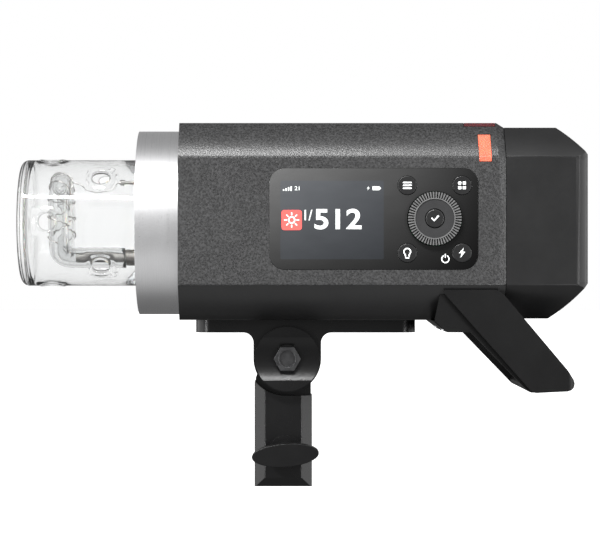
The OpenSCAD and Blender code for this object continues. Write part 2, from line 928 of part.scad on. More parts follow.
module fan_frame() {
    y = hw - wall - 0.6 - fan_t;
    color(black)
    difference() {
        union() {
            difference() {
                along_y(y, fan_t) translate([fan_x, 0]) pill(fan_size, fan_size, 4);
                rod_y_at(fan_x, 0, fan_bore, y - 1, fan_t + 2);
            }
            rod_y_at(fan_x, 0, 12, y, 1.6);
            for (a = [0, 120, 240])
                translate([fan_x, 0, 0]) rotate([0, a, 0]) box([-2, y, 10], [2, y + 1.6, fan_bore + 1]);
        }
        for (x = [-1, 1], z = [-1, 1])
            rod_y_at(fan_x + x * (fan_size / 2 - 5), z * (fan_size / 2 - 5), 2.2, y - 1, fan_t + 2);
    }
}

module fan_rotor() {
    y = hw - wall - 0.6 - fan_t + 2.2;
    blades = 7;
    color("#2c2c2f") {
        rod_y_at(fan_x, 0, 12, y, 10);
        translate([fan_x, 0, 0])
            for (i = [0:blades - 1])
                rotate([0, i * 360 / blades, 0])
                    translate([0, y + 5, 11])
                        rotate([0, 0, 35]) box([-7, -0.7, 0], [7, 0.7, fan_bore - 13.5]);
    }
}

module battery_bulkhead() {
    color(black)
    difference() {
        along_x(bulkhead_x, bulkhead_t) section(wall + gap);
        along_x(bulkhead_x - 1, bulkhead_t + 2) pill(26, 9, 1);
        for (z = [-36, 30], y = [-24:12:24])
            along_x(bulkhead_x - 1, bulkhead_t + 2) translate([y, z]) pill(7, 3, 1.4);
    }
}

module contact_blades() {
    x = bulkhead_x + bulkhead_t + gap;
    color("#b58b3a") {
        box([x, -15, -6], [x + 2.4, 15, 6]);
        for (y = [-10.5, -3.5, 3.5, 10.5])
            box([x + 2.3, y - 0.5, -3], [nose_x + 5.5, y + 0.5, 3]);
    }
}

// ---- Ports ----

module sync_jack() {
    nose = hw - flap_t - gap;
    color("#2d2d30")
    difference() {
        union() {
            rod_y_at(jack_x, 0, 3.4, nose - 3, 3);
            box([jack_x - 4.5, nose - 15, -4.5], [jack_x + 4.5, hw - wall - gap, 4.5]);
        }
        rod_y_at(jack_x, 0, 1.8, nose - 13, 14);
    }
}

module usb_port() {
    nose = hw - flap_t - gap;
    color("#a7aaae")
    difference() {
        along_y(nose - 8, 8) translate([usb_x, 0]) pill(9.4, 3.6, 1.2);
        along_y(nose - 7, 8) translate([usb_x, 0]) pill(8.4, 2.6, 0.9);
        translate([usb_x, 0, 0]) box([-4.8, nose - 9, 1.9], [4.8, nose, 3]);
    }
}

// Rubber cover over the two ports, hinged along its lower edge
module port_cover() {
    color("#232325")
    difference() {
        along_y(hw - flap_t, flap_t) translate([port_x, 0]) pill(flap_l, flap_h, 2.8);
        box([port_x - 5, hw - 0.6, flap_h / 2 - 2], [port_x + 5, hw + 1, flap_h / 2 - 0.9]);
    }
}

// ---- Battery pack ----

// Outer form of the pack, inset by t
module pack_body(t = 0) {
    w = housing_w - 1 - 2 * t;
    end = pack_end - t;
    low = pack_low + t;
    top = pack_top - t;
    cut_low = inset_cut(chamfer - 0.7, t);
    cut_top = inset_cut(chamfer - battery_step, t);
    rear_r = 7;
    bulge_r = 85;
    intersection() {
        along_x(pack_x - 1, battery_l + 2)
            polygon(rounded(octagon(w, low, top, cut_low, cut_top), max(crease_r - t, 0.4)));
        along_y(-hw, housing_w)
            polygon(concat(
                [[pack_x - 1, top], [pack_x - 1, low]],
                bulge([pack_end - 20, low], [end, pack_low + 19], bulge_r),
                bulge([end, pack_top - 15], [pack_end - 16, top], bulge_r)
            ));
        translate([0, 0, -hh])
            linear_extrude(housing_h)
                polygon(rounded([
                    [pack_x - 1, w / 2], [pack_x - 1, -w / 2], [end, -w / 2], [end, w / 2]
                ], [0, 0, rear_r, rear_r], 6));
    }
}

module battery_case() {
    color("#3d3e40")
    difference() {
        intersection() {
            pack_body();
            box([pack_x, -hw, -hh], [pack_end, hw, hh]);
        }
        pack_body(pack_wall);
        along_y(hw - 6, 8) translate([latch_x, 0]) pill(latch_l + 2 * gap, latch_h + 2 * gap, 3);
        for (y = light_spots) translate([0, y, light_z]) rod_x(1.6, pack_end - 5, 8);
        translate([0, 0, level_z]) rod_x(level_r + gap, pack_end - 5, 8);
    }
}

// Plate that closes the pack, with the guide nose that enters the housing
module battery_front() {
    color(black)
    difference() {
        union() {
            intersection() {
                pack_body(pack_wall + gap);
                box([pack_x + 0.2, -hw, -hh], [pack_x + 2.3, hw, hh]);
            }
            box([nose_x, -nose_w / 2, -nose_h / 2], [pack_x + 0.3, nose_w / 2, nose_h / 2]);
        }
        box([nose_x + nose_wall, nose_wall - nose_w / 2, nose_wall - nose_h / 2],
            [pack_x + 3, nose_w / 2 - nose_wall, nose_h / 2 - nose_wall]);
        box([nose_x - 1, -15, -6.5], [nose_x + 3, 15, 6.5]);
        box([nose_x, hook_y - 3.2, -hook_h / 2 - 0.5], [pack_x + 3, hook_y + 2, hook_h / 2 + 0.5]);
    }
}

module battery_cells() {
    color("#4d7fae")
    for (x = [pack_x + 12.1, pack_x + 30.6], i = [-1.5:1:1.5])
        translate([x, i * cell_pitch, 1 - cell_l / 2]) {
            cylinder(h = cell_l - 1, r = cell_d / 2);
            cylinder(h = cell_l, r = 3);
        }
}

module battery_terminals() {
    color("#2a2622")
    difference() {
        box([nose_x + 0.2, -14.8, -6.3], [pack_x + 2.2, 14.8, 6.3]);
        for (y = [-10.5, -3.5, 3.5, 10.5])
            box([nose_x - 1, y - 0.8, -3.3], [pack_x + 0.8, y + 0.8, 3.3]);
    }
}

// Flush release button on the far side, with its hook arm
module battery_latch() {
    inner = hw - 0.5 - pack_wall;
    color("#2a2a2c")
    difference() {
        union() {
            along_y(inner - 2, 5) translate([latch_x, 0]) pill(latch_l, latch_h, 2.85);
            along_y(inner - 3.6, 3.4) translate([latch_x, 0]) pill(latch_l + 4, latch_h + 4, 2);
            box([nose_x + 2.5, hook_y, -hook_h / 2], [latch_x, hook_y + 1.6, hook_h / 2]);
            box([nose_x + 2.5, hook_y, -hook_h / 2], [nose_x + 4.5, hook_y + 2.6, hook_h / 2]);
        }
        for (i = [-2:2])
            box([latch_x + 2.2 * i - 0.5, hw - 0.3, -3.4], [latch_x + 2.2 * i + 0.5, hw + 2, 3.4]);
    }
}

module level_button() {
    color("#2f3033")
    translate([0, 0, level_z]) {
        rod_x(level_r, pack_end - pack_wall - 0.2, pack_wall + 0.2);
        rod_x(level_r + 0.8, pack_end - pack_wall - 0.65, 0.5);
    }
}

module level_lights() {
    color("#b8d8c0")
    for (y = light_spots)
        translate([0, y, light_z]) rod_x(1.45, pack_end - pack_wall - 0.3, pack_wall + 0.2);
}

// ---- Bracket ----

// Stem and round end of one ear, filleted into the plate
module ear_profile() {
    fillet = 5.5;
    top = plate_low + 1;
    difference() {
        union() {
            translate([pivot.x, pivot.y]) circle(r = ear_w / 2, $fn = 96);
            translate([pivot.x - ear_w / 2, pivot.y]) square([ear_w, top - pivot.y]);
            translate([pivot.x - ear_w / 2 - fillet, plate_low - fillet])
                square([ear_w + 2 * fillet, fillet + 1]);
        }
        for (s = [-1, 1])
            translate([pivot.x + s * (ear_w / 2 + fillet), plate_low - fillet]) circle(r = fillet);
    }
}

module tilt_bracket() {
    color(black)
    difference() {
        union() {
            translate([plate_x + plate_l / 2, 0, plate_low])
                linear_extrude(plate_t) pill(plate_l, plate_w, 8);
            both_sides(ear_in, ear_out) ear_profile();
        }
        rod_y_at(pivot.x, pivot.y, bolt_r + 0.05, -hw, housing_w);
        for (p = bracket_holes)
            translate([p.x, p.y, plate_low - 1]) {
                cylinder(h = plate_t + 2, r = 2.1);
                cylinder(h = 4.6, r = 3.9);
            }
    }
}

module bracket_screws() {
    color(steel)
    for (p = bracket_holes) translate([p.x, p.y, plate_low + 0.4]) screw_up(3.6, 3.1, 1.95, 11.2);
}

// Round cap over the front ear, with a hollow channel across it
module pivot_cap() {
    channel_w = 23.5;
    channel_d = 3;
    channel_r = (channel_w * channel_w / 4 + channel_d * channel_d) / (2 * channel_d);
    color(black)
    difference() {
        rod_y_at(pivot.x, pivot.y, cap_d / 2, -ear_out - 0.05 - cap_t, cap_t, $fn = 96);
        rod_y_at(pivot.x, pivot.y, bolt_r + 0.05, -hw, housing_w);
        translate([0, channel_d - channel_r - ear_out - cap_t, pivot.y])
            rod_x(channel_r, pivot.x - cap_d, 2 * cap_d, $fn = 128);
        rod_y_at(pivot.x, pivot.y, 7.6, -hw, hw + head_seat);
    }
}

module pivot_bolt() {
    head_y = -ear_out - cap_t - 0.8;
    head_h = head_seat - head_y;
    color("#2b2b2e")
    difference() {
        union() {
            translate([pivot.x, head_seat, pivot.y])
                rotate([90, 0, 0]) cylinder(h = head_h, r = 7.3, $fn = 6);
            rod_y_at(pivot.x, pivot.y, bolt_r, head_seat - eps, lever_y + lever_hub - head_seat);
        }
        rod_y_at(pivot.x, pivot.y, 4.5, head_y - 1, 3);
    }
}

module friction_washers() {
    color("#6f6a60")
    for (y = [tongue_t / 2 + 0.1, -tongue_t / 2 - 0.1 - washer_t])
        difference() {
            rod_y_at(pivot.x, pivot.y, 12, y, washer_t);
            rod_y_at(pivot.x, pivot.y, bolt_r + 0.2, y - 1, washer_t + 2);
        }
}

// Clamp lever on the far side of the pivot; it hangs straight down when locked
module tilt_lever() {
    reach = 46;
    color(black)
    difference() {
        union() {
            rod_y_at(pivot.x, pivot.y, 10.5, lever_y, lever_hub);
            along_y(lever_y + 3.5, 6.5)
                translate([pivot.x, pivot.y])
                    polygon(rounded([[-8.5, 0], [8.5, 0], [6.2, -reach], [-6.2, -reach]], [0, 0, 5, 5]));
        }
        rod_y_at(pivot.x, pivot.y, bolt_r + 0.05, -hw, housing_w);
    }
}

// ---- Stand receiver ----

// Plan of the receiver, with its four vertical edges bevelled
module receiver_plan() {
    translate([receiver_x, 0])
        polygon(rounded(octagon(receiver_w, -receiver_t / 2, receiver_t / 2, 5.6, 5.6), 1.2, 3));
}

// Tongue that rises between the ears, round at the pivot
module tongue_profile() {
    r = 13.5;
    left = receiver_x - receiver_w / 2 + 0.6;
    right = receiver_x + receiver_w / 2 - 0.6;
    translate([pivot.x, pivot.y]) circle(r = r, $fn = 96);
    polygon([
        [left, pivot.y - 24], [right, pivot.y - 24], [right, pivot.y - 12.6],
        [pivot.x + r, pivot.y], [pivot.x - r, pivot.y], [left, pivot.y - 10.6]
    ]);
}

// Space that the ears sweep over the receiver's shoulders
module shoulder_cut() {
    difference() {
        union() {
            rod_y_at(pivot.x - 0.4, pivot.y + 3.4, 23.4, -receiver_t, 2 * receiver_t, $fn = 96);
            box([pivot.x - 0.4, -receiver_t, pivot.y - 20], [pivot.x + receiver_w, receiver_t, 0]);
        }
        along_y(-tongue_t / 2, tongue_t) translate([pivot.x - 60, pivot.y - 60]) square(120);
    }
}

module stand_receiver() {
    boss_r = 9;
    foot_bevel = 5;
    color(black)
    difference() {
        union() {
            difference() {
                translate([0, 0, receiver_low]) linear_extrude(receiver_drop - 8) receiver_plan();
                shoulder_cut();
                box([0, -tongue_t / 2, pivot.y - 20], [pivot.x + 60, tongue_t / 2, 0]);
            }
            along_y(-tongue_t / 2, tongue_t) tongue_profile();
            rod_y_at(knob_x, knob_z, boss_r, -receiver_t / 2 - 4, 5);
        }
        translate([receiver_x, 0, receiver_low - 1]) cylinder(h = socket_l + 1, r = socket_r);
        rod_y_at(pivot.x, pivot.y, bolt_r + 0.05, -hw, housing_w);
        rod_y_at(knob_x, knob_z, screw_r + 0.05, -receiver_t, receiver_t);
        rod_y_at(knob_x, knob_z, shoe_r + 0.1, -socket_r - 4, 6);
        translate([receiver_x, -receiver_t / 2 + foot_bevel, receiver_low])
            rotate([-45, 0, 0]) translate([-30, -20, -20]) cube([60, 20, 20]);
    }
}

// T-handled clamp screw
module clamp_knob() {
    paddle_h = 12.2;
    paddle_t = 10.5;
    paddle_y = -receiver_t / 2 - 30;
    lean = -4;
    steps = 64;
    color("#161618")
    translate([knob_x, 0, knob_z]) {
        rotate([0, lean, 0])
            along_y(paddle_y, paddle_t)
                polygon([for (i = [0:steps - 1])
                    [paddle_w / 2 * cos(i * 360 / steps), paddle_h / 2 * sin(i * 360 / steps)]]);
        rod_y(5.6, paddle_y + paddle_t - eps, -receiver_t / 2 - 4.5 - paddle_y - paddle_t);
        rod_y(screw_r, paddle_y + paddle_t, -shoe_back - 0.1 - paddle_y - paddle_t);
    }
}

// Pad between the screw's tip and the stud
module clamp_shoe() {
    color("#b58b3a") rod_y_at(knob_x, knob_z, shoe_r, -shoe_back, shoe_t);
}

// ---- Handle ----

// Side views of the handle, drawn from the housing's lower rear corner: the arms'
// outer layer, the set-back inner layer with its web, the grip and the foot
arm_outline = rounded(
    [[-32.5, 16.1], [-3.2, 16.1], [32.6, -26.4], [39, -36.8], [14.2, -38], [-32.3, 14.2]],
    [0, 7, 20, 4, 4, 0]
);
web_outline = rounded(
    [[-33.8, 16.1], [-3.2, 16.1], [32.6, -26.4], [39, -36.8], [12.6, -38],
     [-18.1, -6.3], [-30.4, -6.3], [-37.2, -gap]],
    [2, 7, 20, 4, 4, 0, 1, 2]
);
grip_outline = rounded(
    [[24, -16.2], [32.6, -26.4], [39, -36.8], [12.6, -38], [10.3, -35.4]],
    [3, 20, 4, 4, 1.5]
);
foot_outline = [[-38.4, -gap], [-5, -gap], [-5, -6.3], [-30.4, -6.3]];

// Plan view that rounds the grip's two ends
module handle_plan() {
    corner_r = 6;
    end = x_rear + 38.6;
    polygon(rounded([
        [0, handle_w / 2], [0, -handle_w / 2], [end, -handle_w / 2], [end, handle_w / 2]
    ], [0, 0, corner_r, corner_r]));
}

module carry_handle() {
    inner = handle_w / 2 - arm_t;
    color("#232325")
    difference() {
        intersection() {
            translate([x_rear, 0, -hh]) {
                both_sides(inner + 1, handle_w / 2) polygon(arm_outline);
                both_sides(inner, inner + arm_t / 2) polygon(web_outline);
                along_y(-inner - 2, 2 * inner + 4) polygon(grip_outline);
                along_y(-inner - 1, 2 * inner + 2) polygon(foot_outline);
            }
            translate([0, 0, -2 * housing_h]) linear_extrude(3 * housing_h) handle_plan();
        }
        along_x(0, 2 * housing_l) section(-gap);
        for (p = handle_holes)
            translate([p.x, p.y, -hh - 7]) {
                cylinder(h = 8, r = 1.65);
                cylinder(h = 3.7, r = 3.2);
            }
    }
}

// ---- Assembly ----

housing_shell();
bottom_cover();
front_plate();
mount_ring();
ring_screws();
lock_slider();
case_screws();
glass_cover();
glass_clips();
flash_tube();
electrodes();
trigger_wire();
tube_socket();
reflector_dish();
modelling_lamp();
tube_leads();
control_panel();
display_module();
control_board();
control_dial();
dial_encoder();
set_button();
menu_button();
mode_button();
lamp_button();
flash_button();
indicator_bar();
sensor_window();
light_sensor();
radio_module();
capacitor_bank();
capacitor_frame();
main_board();
charge_transformer();
heat_sink();
power_transistors();
fan_frame();
fan_rotor();
battery_bulkhead();
contact_blades();
sync_jack();
usb_port();
port_cover();
battery_case();
battery_front();
battery_cells();
battery_terminals();
battery_latch();
level_button();
level_lights();
tilt_bracket();
bracket_screws();
pivot_cap();
pivot_bolt();
friction_washers();
tilt_lever();
stand_receiver();
clamp_knob();
clamp_shoe();
carry_handle();
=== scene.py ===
"""Looks of a studio flash head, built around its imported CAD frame. Metres, +Z up."""

import math

import bmesh
import bpy
from mathutils import Matrix, Vector


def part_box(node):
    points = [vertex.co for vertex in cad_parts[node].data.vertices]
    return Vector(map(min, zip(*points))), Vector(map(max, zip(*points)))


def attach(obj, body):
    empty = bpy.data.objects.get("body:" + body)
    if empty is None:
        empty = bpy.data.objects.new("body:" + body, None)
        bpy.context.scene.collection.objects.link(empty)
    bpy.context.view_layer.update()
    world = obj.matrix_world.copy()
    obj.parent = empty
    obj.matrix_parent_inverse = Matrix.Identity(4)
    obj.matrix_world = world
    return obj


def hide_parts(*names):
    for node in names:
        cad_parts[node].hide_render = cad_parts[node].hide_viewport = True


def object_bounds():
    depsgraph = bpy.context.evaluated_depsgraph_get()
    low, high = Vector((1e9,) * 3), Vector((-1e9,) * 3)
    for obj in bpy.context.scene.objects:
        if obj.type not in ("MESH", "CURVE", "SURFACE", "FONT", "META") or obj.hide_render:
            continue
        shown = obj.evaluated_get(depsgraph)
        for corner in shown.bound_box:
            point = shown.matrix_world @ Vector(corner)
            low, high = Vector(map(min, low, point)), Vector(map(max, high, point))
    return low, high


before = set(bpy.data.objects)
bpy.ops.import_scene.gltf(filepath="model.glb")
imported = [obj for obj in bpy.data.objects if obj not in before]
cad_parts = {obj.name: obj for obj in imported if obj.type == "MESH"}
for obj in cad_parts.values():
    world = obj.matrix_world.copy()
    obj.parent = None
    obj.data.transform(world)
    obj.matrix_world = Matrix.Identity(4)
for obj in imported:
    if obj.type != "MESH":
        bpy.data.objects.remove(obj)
cad_low, cad_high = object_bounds()

MM = 0.001
# Width of the casing's long chamfers, seen along Y or Z
CHAMFER = 18.6 * MM
# How far the chamfers of the casing and of the pack seem to bulge
DOME = 3.2 * MM
PACK_DOME = 1.5 * MM
# Half the thickness of printed marks
DECAL = 0.04 * MM


# ---------------------------------------------------------------- materials

class Shader:
    """A material's node tree, with one short method per kind of node."""

    def __init__(self, name, **surface):
        self.mat = bpy.data.materials.new(name)
        self.mat.use_nodes = True
        self.tree = self.mat.node_tree
        self.bsdf = self.tree.nodes["Principled BSDF"]
        self.place = self.node("ShaderNodeTexCoord").outputs["Object"]
        self.surface(**surface)

    def node(self, kind, **settings):
        """Adds a node and sets its properties."""
        new = self.tree.nodes.new(kind)
        for key, value in settings.items():
            setattr(new, key, value)
        return new

    def put(self, socket, value):
        """Sets a socket to a value or links another socket to it."""
        if isinstance(value, bpy.types.NodeSocket):
            self.tree.links.new(value, socket)
        elif isinstance(value, tuple) and len(value) == 3 and socket.type == "RGBA":
            socket.default_value = (*value, 1.0)
        else:
            socket.default_value = value

    def surface(self, **values):
        """Sets inputs of the surface, whose names have underscores for spaces."""
        for key, value in values.items():
            self.put(self.bsdf.inputs[key.replace("_", " ")], value)

    def math(self, operation, a, b=0.0):
        """Sum, product or another operation on one or two values."""
        new = self.node("ShaderNodeMath", operation=operation)
        self.put(new.inputs[0], a)
        self.put(new.inputs[1], b)
        return new.outputs[0]

    def stretched(self, x, y, z, source=None):
        """Object coordinates scaled along each axis."""
        new = self.node("ShaderNodeVectorMath", operation="MULTIPLY")
        self.put(new.inputs[0], source or self.place)
        new.inputs[1].default_value = (x, y, z)
        return new.outputs[0]

    def noise(self, size, detail=3.0, source=None, roughness=0.55, distortion=0.0):
        """Noise whose features are about size metres across, from 0 to 1."""
        new = self.node("ShaderNodeTexNoise")
        self.put(new.inputs["Vector"], source or self.place)
        new.inputs["Scale"].default_value = 1 / size
        new.inputs["Detail"].default_value = detail
        new.inputs["Roughness"].default_value = roughness
        new.inputs["Distortion"].default_value = distortion
        return new.outputs["Fac"]

    def cells(self, size, feature="F1", source=None):
        """Distances in a pattern of cells that are about size metres across."""
        new = self.node("ShaderNodeTexVoronoi", feature=feature)
        self.put(new.inputs["Vector"], source or self.place)
        new.inputs["Scale"].default_value = 1 / size
        return new.outputs["Distance"]

    def wobbled(self, size, amount):
        """Object coordinates shaken by noise, so that a pattern isn't regular."""
        shake = self.node("ShaderNodeTexNoise")
        self.put(shake.inputs["Vector"], self.place)
        shake.inputs["Scale"].default_value = 1 / size
        offset = self.node("ShaderNodeVectorMath", operation="MULTIPLY_ADD")
        self.put(offset.inputs[0], shake.outputs["Color"])
        offset.inputs[1].default_value = (amount,) * 3
        self.put(offset.inputs[2], self.place)
        return offset.outputs[0]

    def spread(self, value, low, high, start=0.3, end=0.7):
        """Maps a value from start..end to low..high."""
        new = self.node("ShaderNodeMapRange")
        self.put(new.inputs["Value"], value)
        new.inputs["From Min"].default_value = start
        new.inputs["From Max"].default_value = end
        new.inputs["To Min"].default_value = low
        new.inputs["To Max"].default_value = high
        return new.outputs["Result"]

    def blend(self, share, a, b):
        """Colour between a and b."""
        new = self.node("ShaderNodeMix", data_type="RGBA")
        self.put(new.inputs["Factor"], share)
        self.put(new.inputs["A"], a)
        self.put(new.inputs["B"], b)
        return new.outputs["Result"]

    def bump(self, height, depth, under=None):
        """Relief of the surface, with depth in metres, over the relief under it."""
        new = self.node("ShaderNodeBump")
        new.inputs["Distance"].default_value = depth
        new.inputs["Strength"].default_value = 1.0
        self.put(new.inputs["Height"], height)
        if under:
            self.put(new.inputs["Normal"], under)
        self.put(self.bsdf.inputs["Normal"], new.outputs["Normal"])
        return new.outputs["Normal"]

    def swell(self, rise):
        """Bump that makes the four long chamfers look gently domed."""
        low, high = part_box("housing_shell")
        half_y, half_z = (high.y - low.y) / 2, (high.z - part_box("bottom_cover")[0].z) / 2
        past = 4 * MM
        y = self.math("ABSOLUTE", self.axis("Y"))
        z = self.math("ABSOLUTE", self.axis("Z"))
        across = self.math("SUBTRACT", self.math("SUBTRACT", z, y), half_z - half_y)
        share = self.math("DIVIDE", across, CHAMFER)
        dome = self.math("SUBTRACT", 1.0, self.math("MULTIPLY", share, share))
        on = self.math("GREATER_THAN", self.math("ADD", y, z), half_y + half_z - CHAMFER - past)
        height = self.math("MULTIPLY", self.math("MAXIMUM", dome, 0.0), on)
        return self.bump(height, rise)

    def axis(self, letter):
        """One of the object coordinates."""
        split = self.node("ShaderNodeSeparateXYZ")
        self.put(split.inputs[0], self.place)
        return split.outputs[letter]


def shades(colour, share):
    """A darker and a lighter colour around one colour."""
    return tuple(c * (1 - share) for c in colour), tuple(c * (1 + share) for c in colour)


def moulded(name, colour, rough=0.45, grain=0.35 * MM, depth=0.012 * MM, dome=0.0, **surface):
    """Moulded plastic: fine texture, slow drift in tone and small handling marks."""
    s = Shader(name, **surface)
    dark, light = shades(colour, 0.12)
    drift = s.noise(14 * MM, 4)
    s.surface(Base_Color=s.blend(s.spread(drift, 0, 1), dark, light))
    marks = s.math("ADD", s.noise(30 * MM, 5), s.math("MULTIPLY", s.noise(1.2 * MM), 0.35))
    s.surface(Roughness=s.spread(marks, rough - 0.05, rough + 0.06, 0.4, 0.9))
    s.bump(s.noise(grain, 2), depth, s.swell(dome) if dome else None)
    return s


def leather_grain(name, colour):
    """Charcoal plastic with a pebbled leather grain moulded into it."""
    s = Shader(name, Specular_IOR_Level=0.5)
    source = s.wobbled(1.3 * MM, 0.7 * MM)
    pebbles = s.cells(0.95 * MM, "SMOOTH_F1", source)
    creases = s.noise(0.42 * MM, 3, roughness=0.65)
    height = s.math("ADD", pebbles, s.math("MULTIPLY", creases, 0.9))
    # Tone follows the grain's height: painted shade in its hollows and painted light on its tops.
    dark, light = shades(colour, 0.7)
    s.surface(Base_Color=s.blend(s.spread(height, 0, 1, 0.6, 1.15), dark, light))
    s.surface(Roughness=s.spread(s.noise(22 * MM, 4), 0.33, 0.4))
    s.bump(height, 0.09 * MM, s.swell(DOME))
    return s


def powder_coat(name, colour, rough=0.36):
    """Satin black paint with an orange-peel skin and lighter spots of wear."""
    s = Shader(name, Specular_IOR_Level=0.3)
    pale_tone = s.spread(s.noise(9 * MM, 6, roughness=0.7), 0, 0.5, 0.62, 0.8)
    dark, light = shades(colour, 0.1)
    s.surface(Base_Color=s.blend(pale_tone, dark, tuple(2.2 * c for c in light)))
    s.surface(Roughness=s.spread(s.noise(25 * MM, 4), rough - 0.04, rough + 0.05))
    fine = s.noise(0.25 * MM, 2)
    s.bump(s.math("ADD", s.noise(1.1 * MM, 2), s.math("MULTIPLY", fine, 0.4)), 0.02 * MM)
    return s


def turned_metal(name, colour, rough=0.3, centre=(0, 0, 0), depth=0.004 * MM):
    """Satin anodised metal turned about X, with faint marks round the axis."""
    s = Shader(name, Metallic=1.0)
    local = s.node("ShaderNodeVectorMath", operation="SUBTRACT")
    s.put(local.inputs[0], s.place)
    local.inputs[1].default_value = centre
    flat = s.stretched(0, 1, 1, local.outputs[0])
    radius = s.node("ShaderNodeVectorMath", operation="LENGTH")
    s.put(radius.inputs[0], flat)
    rings = s.node("ShaderNodeCombineXYZ")
    s.put(rings.inputs["X"], s.axis("X"))
    s.put(rings.inputs["Y"], radius.outputs["Value"])
    lines = s.noise(0.16 * MM, 2, rings.outputs[0])
    blast = s.noise(0.3 * MM, 3)
    dark, light = shades(colour, 0.05)
    s.surface(Base_Color=s.blend(s.noise(12 * MM, 4), dark, light))
    s.surface(Roughness=s.spread(s.math("ADD", lines, blast), rough - 0.05, rough + 0.06, 0.7, 1.3))
    s.bump(s.math("ADD", lines, s.math("MULTIPLY", blast, 0.8)), depth)
    return s


def plain_metal(name, colour, rough=0.32, stretch=(1, 1, 1)):
    """Drawn or stamped metal, with fine lines and dull patches."""
    s = Shader(name, Metallic=1.0)
    source = s.stretched(*stretch)
    lines = s.noise(0.2 * MM, 3, source)
    dark, light = shades(colour, 0.12)
    s.surface(Base_Color=s.blend(s.noise(4 * MM, 5), dark, light))
    s.surface(Roughness=s.spread(s.noise(3 * MM, 4), rough - 0.08, rough + 0.12))
    s.bump(lines, 0.006 * MM)
    return s


def clear_through_shadow(s):
    """Lets lamp light straight through a clear material, so that what it covers is lit."""
    out = s.tree.nodes["Material Output"]
    path = s.node("ShaderNodeLightPath")
    clear = s.node("ShaderNodeBsdfTransparent")
    clear.inputs["Color"].default_value = (0.93, 0.94, 0.94, 1)
    mix = s.node("ShaderNodeMixShader")
    s.put(mix.inputs["Fac"], path.outputs["Is Shadow Ray"])
    s.put(mix.inputs[1], s.bsdf.outputs[0])
    s.put(mix.inputs[2], clear.outputs[0])
    s.put(out.inputs["Surface"], mix.outputs[0])


def drawn_glass(name, tint, rough=0.03, waves=5 * MM, depth=0.05 * MM):
    """Clear borosilicate glass with slow waves and a trace of frosting."""
    s = Shader(name, Transmission_Weight=1.0, IOR=1.47)
    haze = s.noise(7 * MM, 4, s.stretched(1, 1, 0.35))
    dark, light = shades(tint, 0.02)
    s.surface(Base_Color=s.blend(haze, dark, light))
    s.surface(Roughness=s.spread(haze, rough * 0.4, rough * 1.6))
    s.bump(s.noise(waves, 2), depth)
    clear_through_shadow(s)
    return s


def dial_rubber(name):
    """Soft black dial: pale lands with a painted highlight between grooves with painted shade, and a greyer
    dished face.
    """
    low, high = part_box("control_dial")
    teeth_depth, face_drop = 3.7 * MM, 0.3 * MM
    s = moulded(name, (0.013, 0.013, 0.0134), 0.42, 0.2 * MM, 0.01 * MM, Specular_IOR_Level=0.24)
    local = s.node("ShaderNodeVectorMath", operation="SUBTRACT")
    s.put(local.inputs[0], s.place)
    local.inputs[1].default_value = (low + high) / 2
    radius = s.node("ShaderNodeVectorMath", operation="LENGTH")
    s.put(radius.inputs[0], s.stretched(1, 0, 1, local.outputs[0]))
    rim = s.math("GREATER_THAN", radius.outputs["Value"], (high.x - low.x) / 2 - teeth_depth)
    sunk_painted_shade = s.math("GREATER_THAN", s.axis("Y"), low.y + face_drop)
    # Front lands of the teeth: a painted highlight.
    pale_tone = s.blend(s.noise(1.5 * MM, 4), (0.05, 0.05, 0.05), (0.16, 0.16, 0.16))
    # Faces set back from the front: painted shade, near black.
    teeth = s.blend(sunk_painted_shade, pale_tone, (0.003, 0.003, 0.003))
    face = s.blend(s.noise(6 * MM, 4), (0.018, 0.018, 0.0185), (0.028, 0.028, 0.029))
    s.surface(Base_Color=s.blend(rim, face, teeth))
    return s


def painted_reflection_panel(name, upper_left, upper_right, lower_left, lower_right):
    """Smoked acrylic whose colour fades from corner to corner, a painted reflection of the lamps, lightest at
    the upper left.
    """
    low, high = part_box("control_panel")
    s = Shader(name, Coat_Weight=0.1, Coat_Roughness=0.05, Specular_IOR_Level=0.18)
    wipes = s.noise(16 * MM, 5, s.stretched(1, 1, 2.2))
    right = s.spread(s.axis("X"), 0, 1, low.x, high.x)
    up = s.spread(s.axis("Z"), 0, 1, low.z, high.z)
    # The corner colours blend into a painted reflection of the lamps.
    upper, lower = s.blend(right, upper_left, upper_right), s.blend(right, lower_left, lower_right)
    tone = s.blend(up, lower, upper)
    s.surface(Base_Color=s.blend(s.spread(wipes, 0.0, 0.12), tone, (0.0, 0.0, 0.0)))
    s.surface(Roughness=s.spread(wipes, 0.12, 0.2))
    s.bump(s.noise(40 * MM, 1), 0.01 * MM)
    return s


def lit(name, colour, power, cell=0.32 * MM):
    """Glowing ink with the faint lattice of display dots: the screen's own light, and a painted glow on the
    printed keys and panel.
    """
    s = Shader(name, Roughness=0.3)
    lattice = s.cells(cell, "F1")
    shade = s.spread(lattice, 1.0, 0.82, 0.1, 0.7)
    glow = s.blend(shade, tuple(0.75 * c for c in colour), colour)
    s.surface(Base_Color=glow, Emission_Color=glow, Emission_Strength=power)
    s.bump(lattice, 0.004 * MM)
    return s


def circuit_board(name, colour):
    """Solder mask with darker traces and bright pads."""
    s = Shader(name, Roughness=0.35, Coat_Weight=0.3)
    traces = s.cells(3.5 * MM, "DISTANCE_TO_EDGE")
    pads = s.cells(2.1 * MM)
    dark, light = shades(colour, 0.35)
    mask = s.blend(s.spread(traces, 1, 0, 0.03, 0.08), dark, light)
    s.surface(Base_Color=s.blend(s.spread(pads, 0.8, 0, 0.12, 0.16), mask, (0.55, 0.5, 0.36)))
    s.bump(traces, 0.03 * MM)
    return s


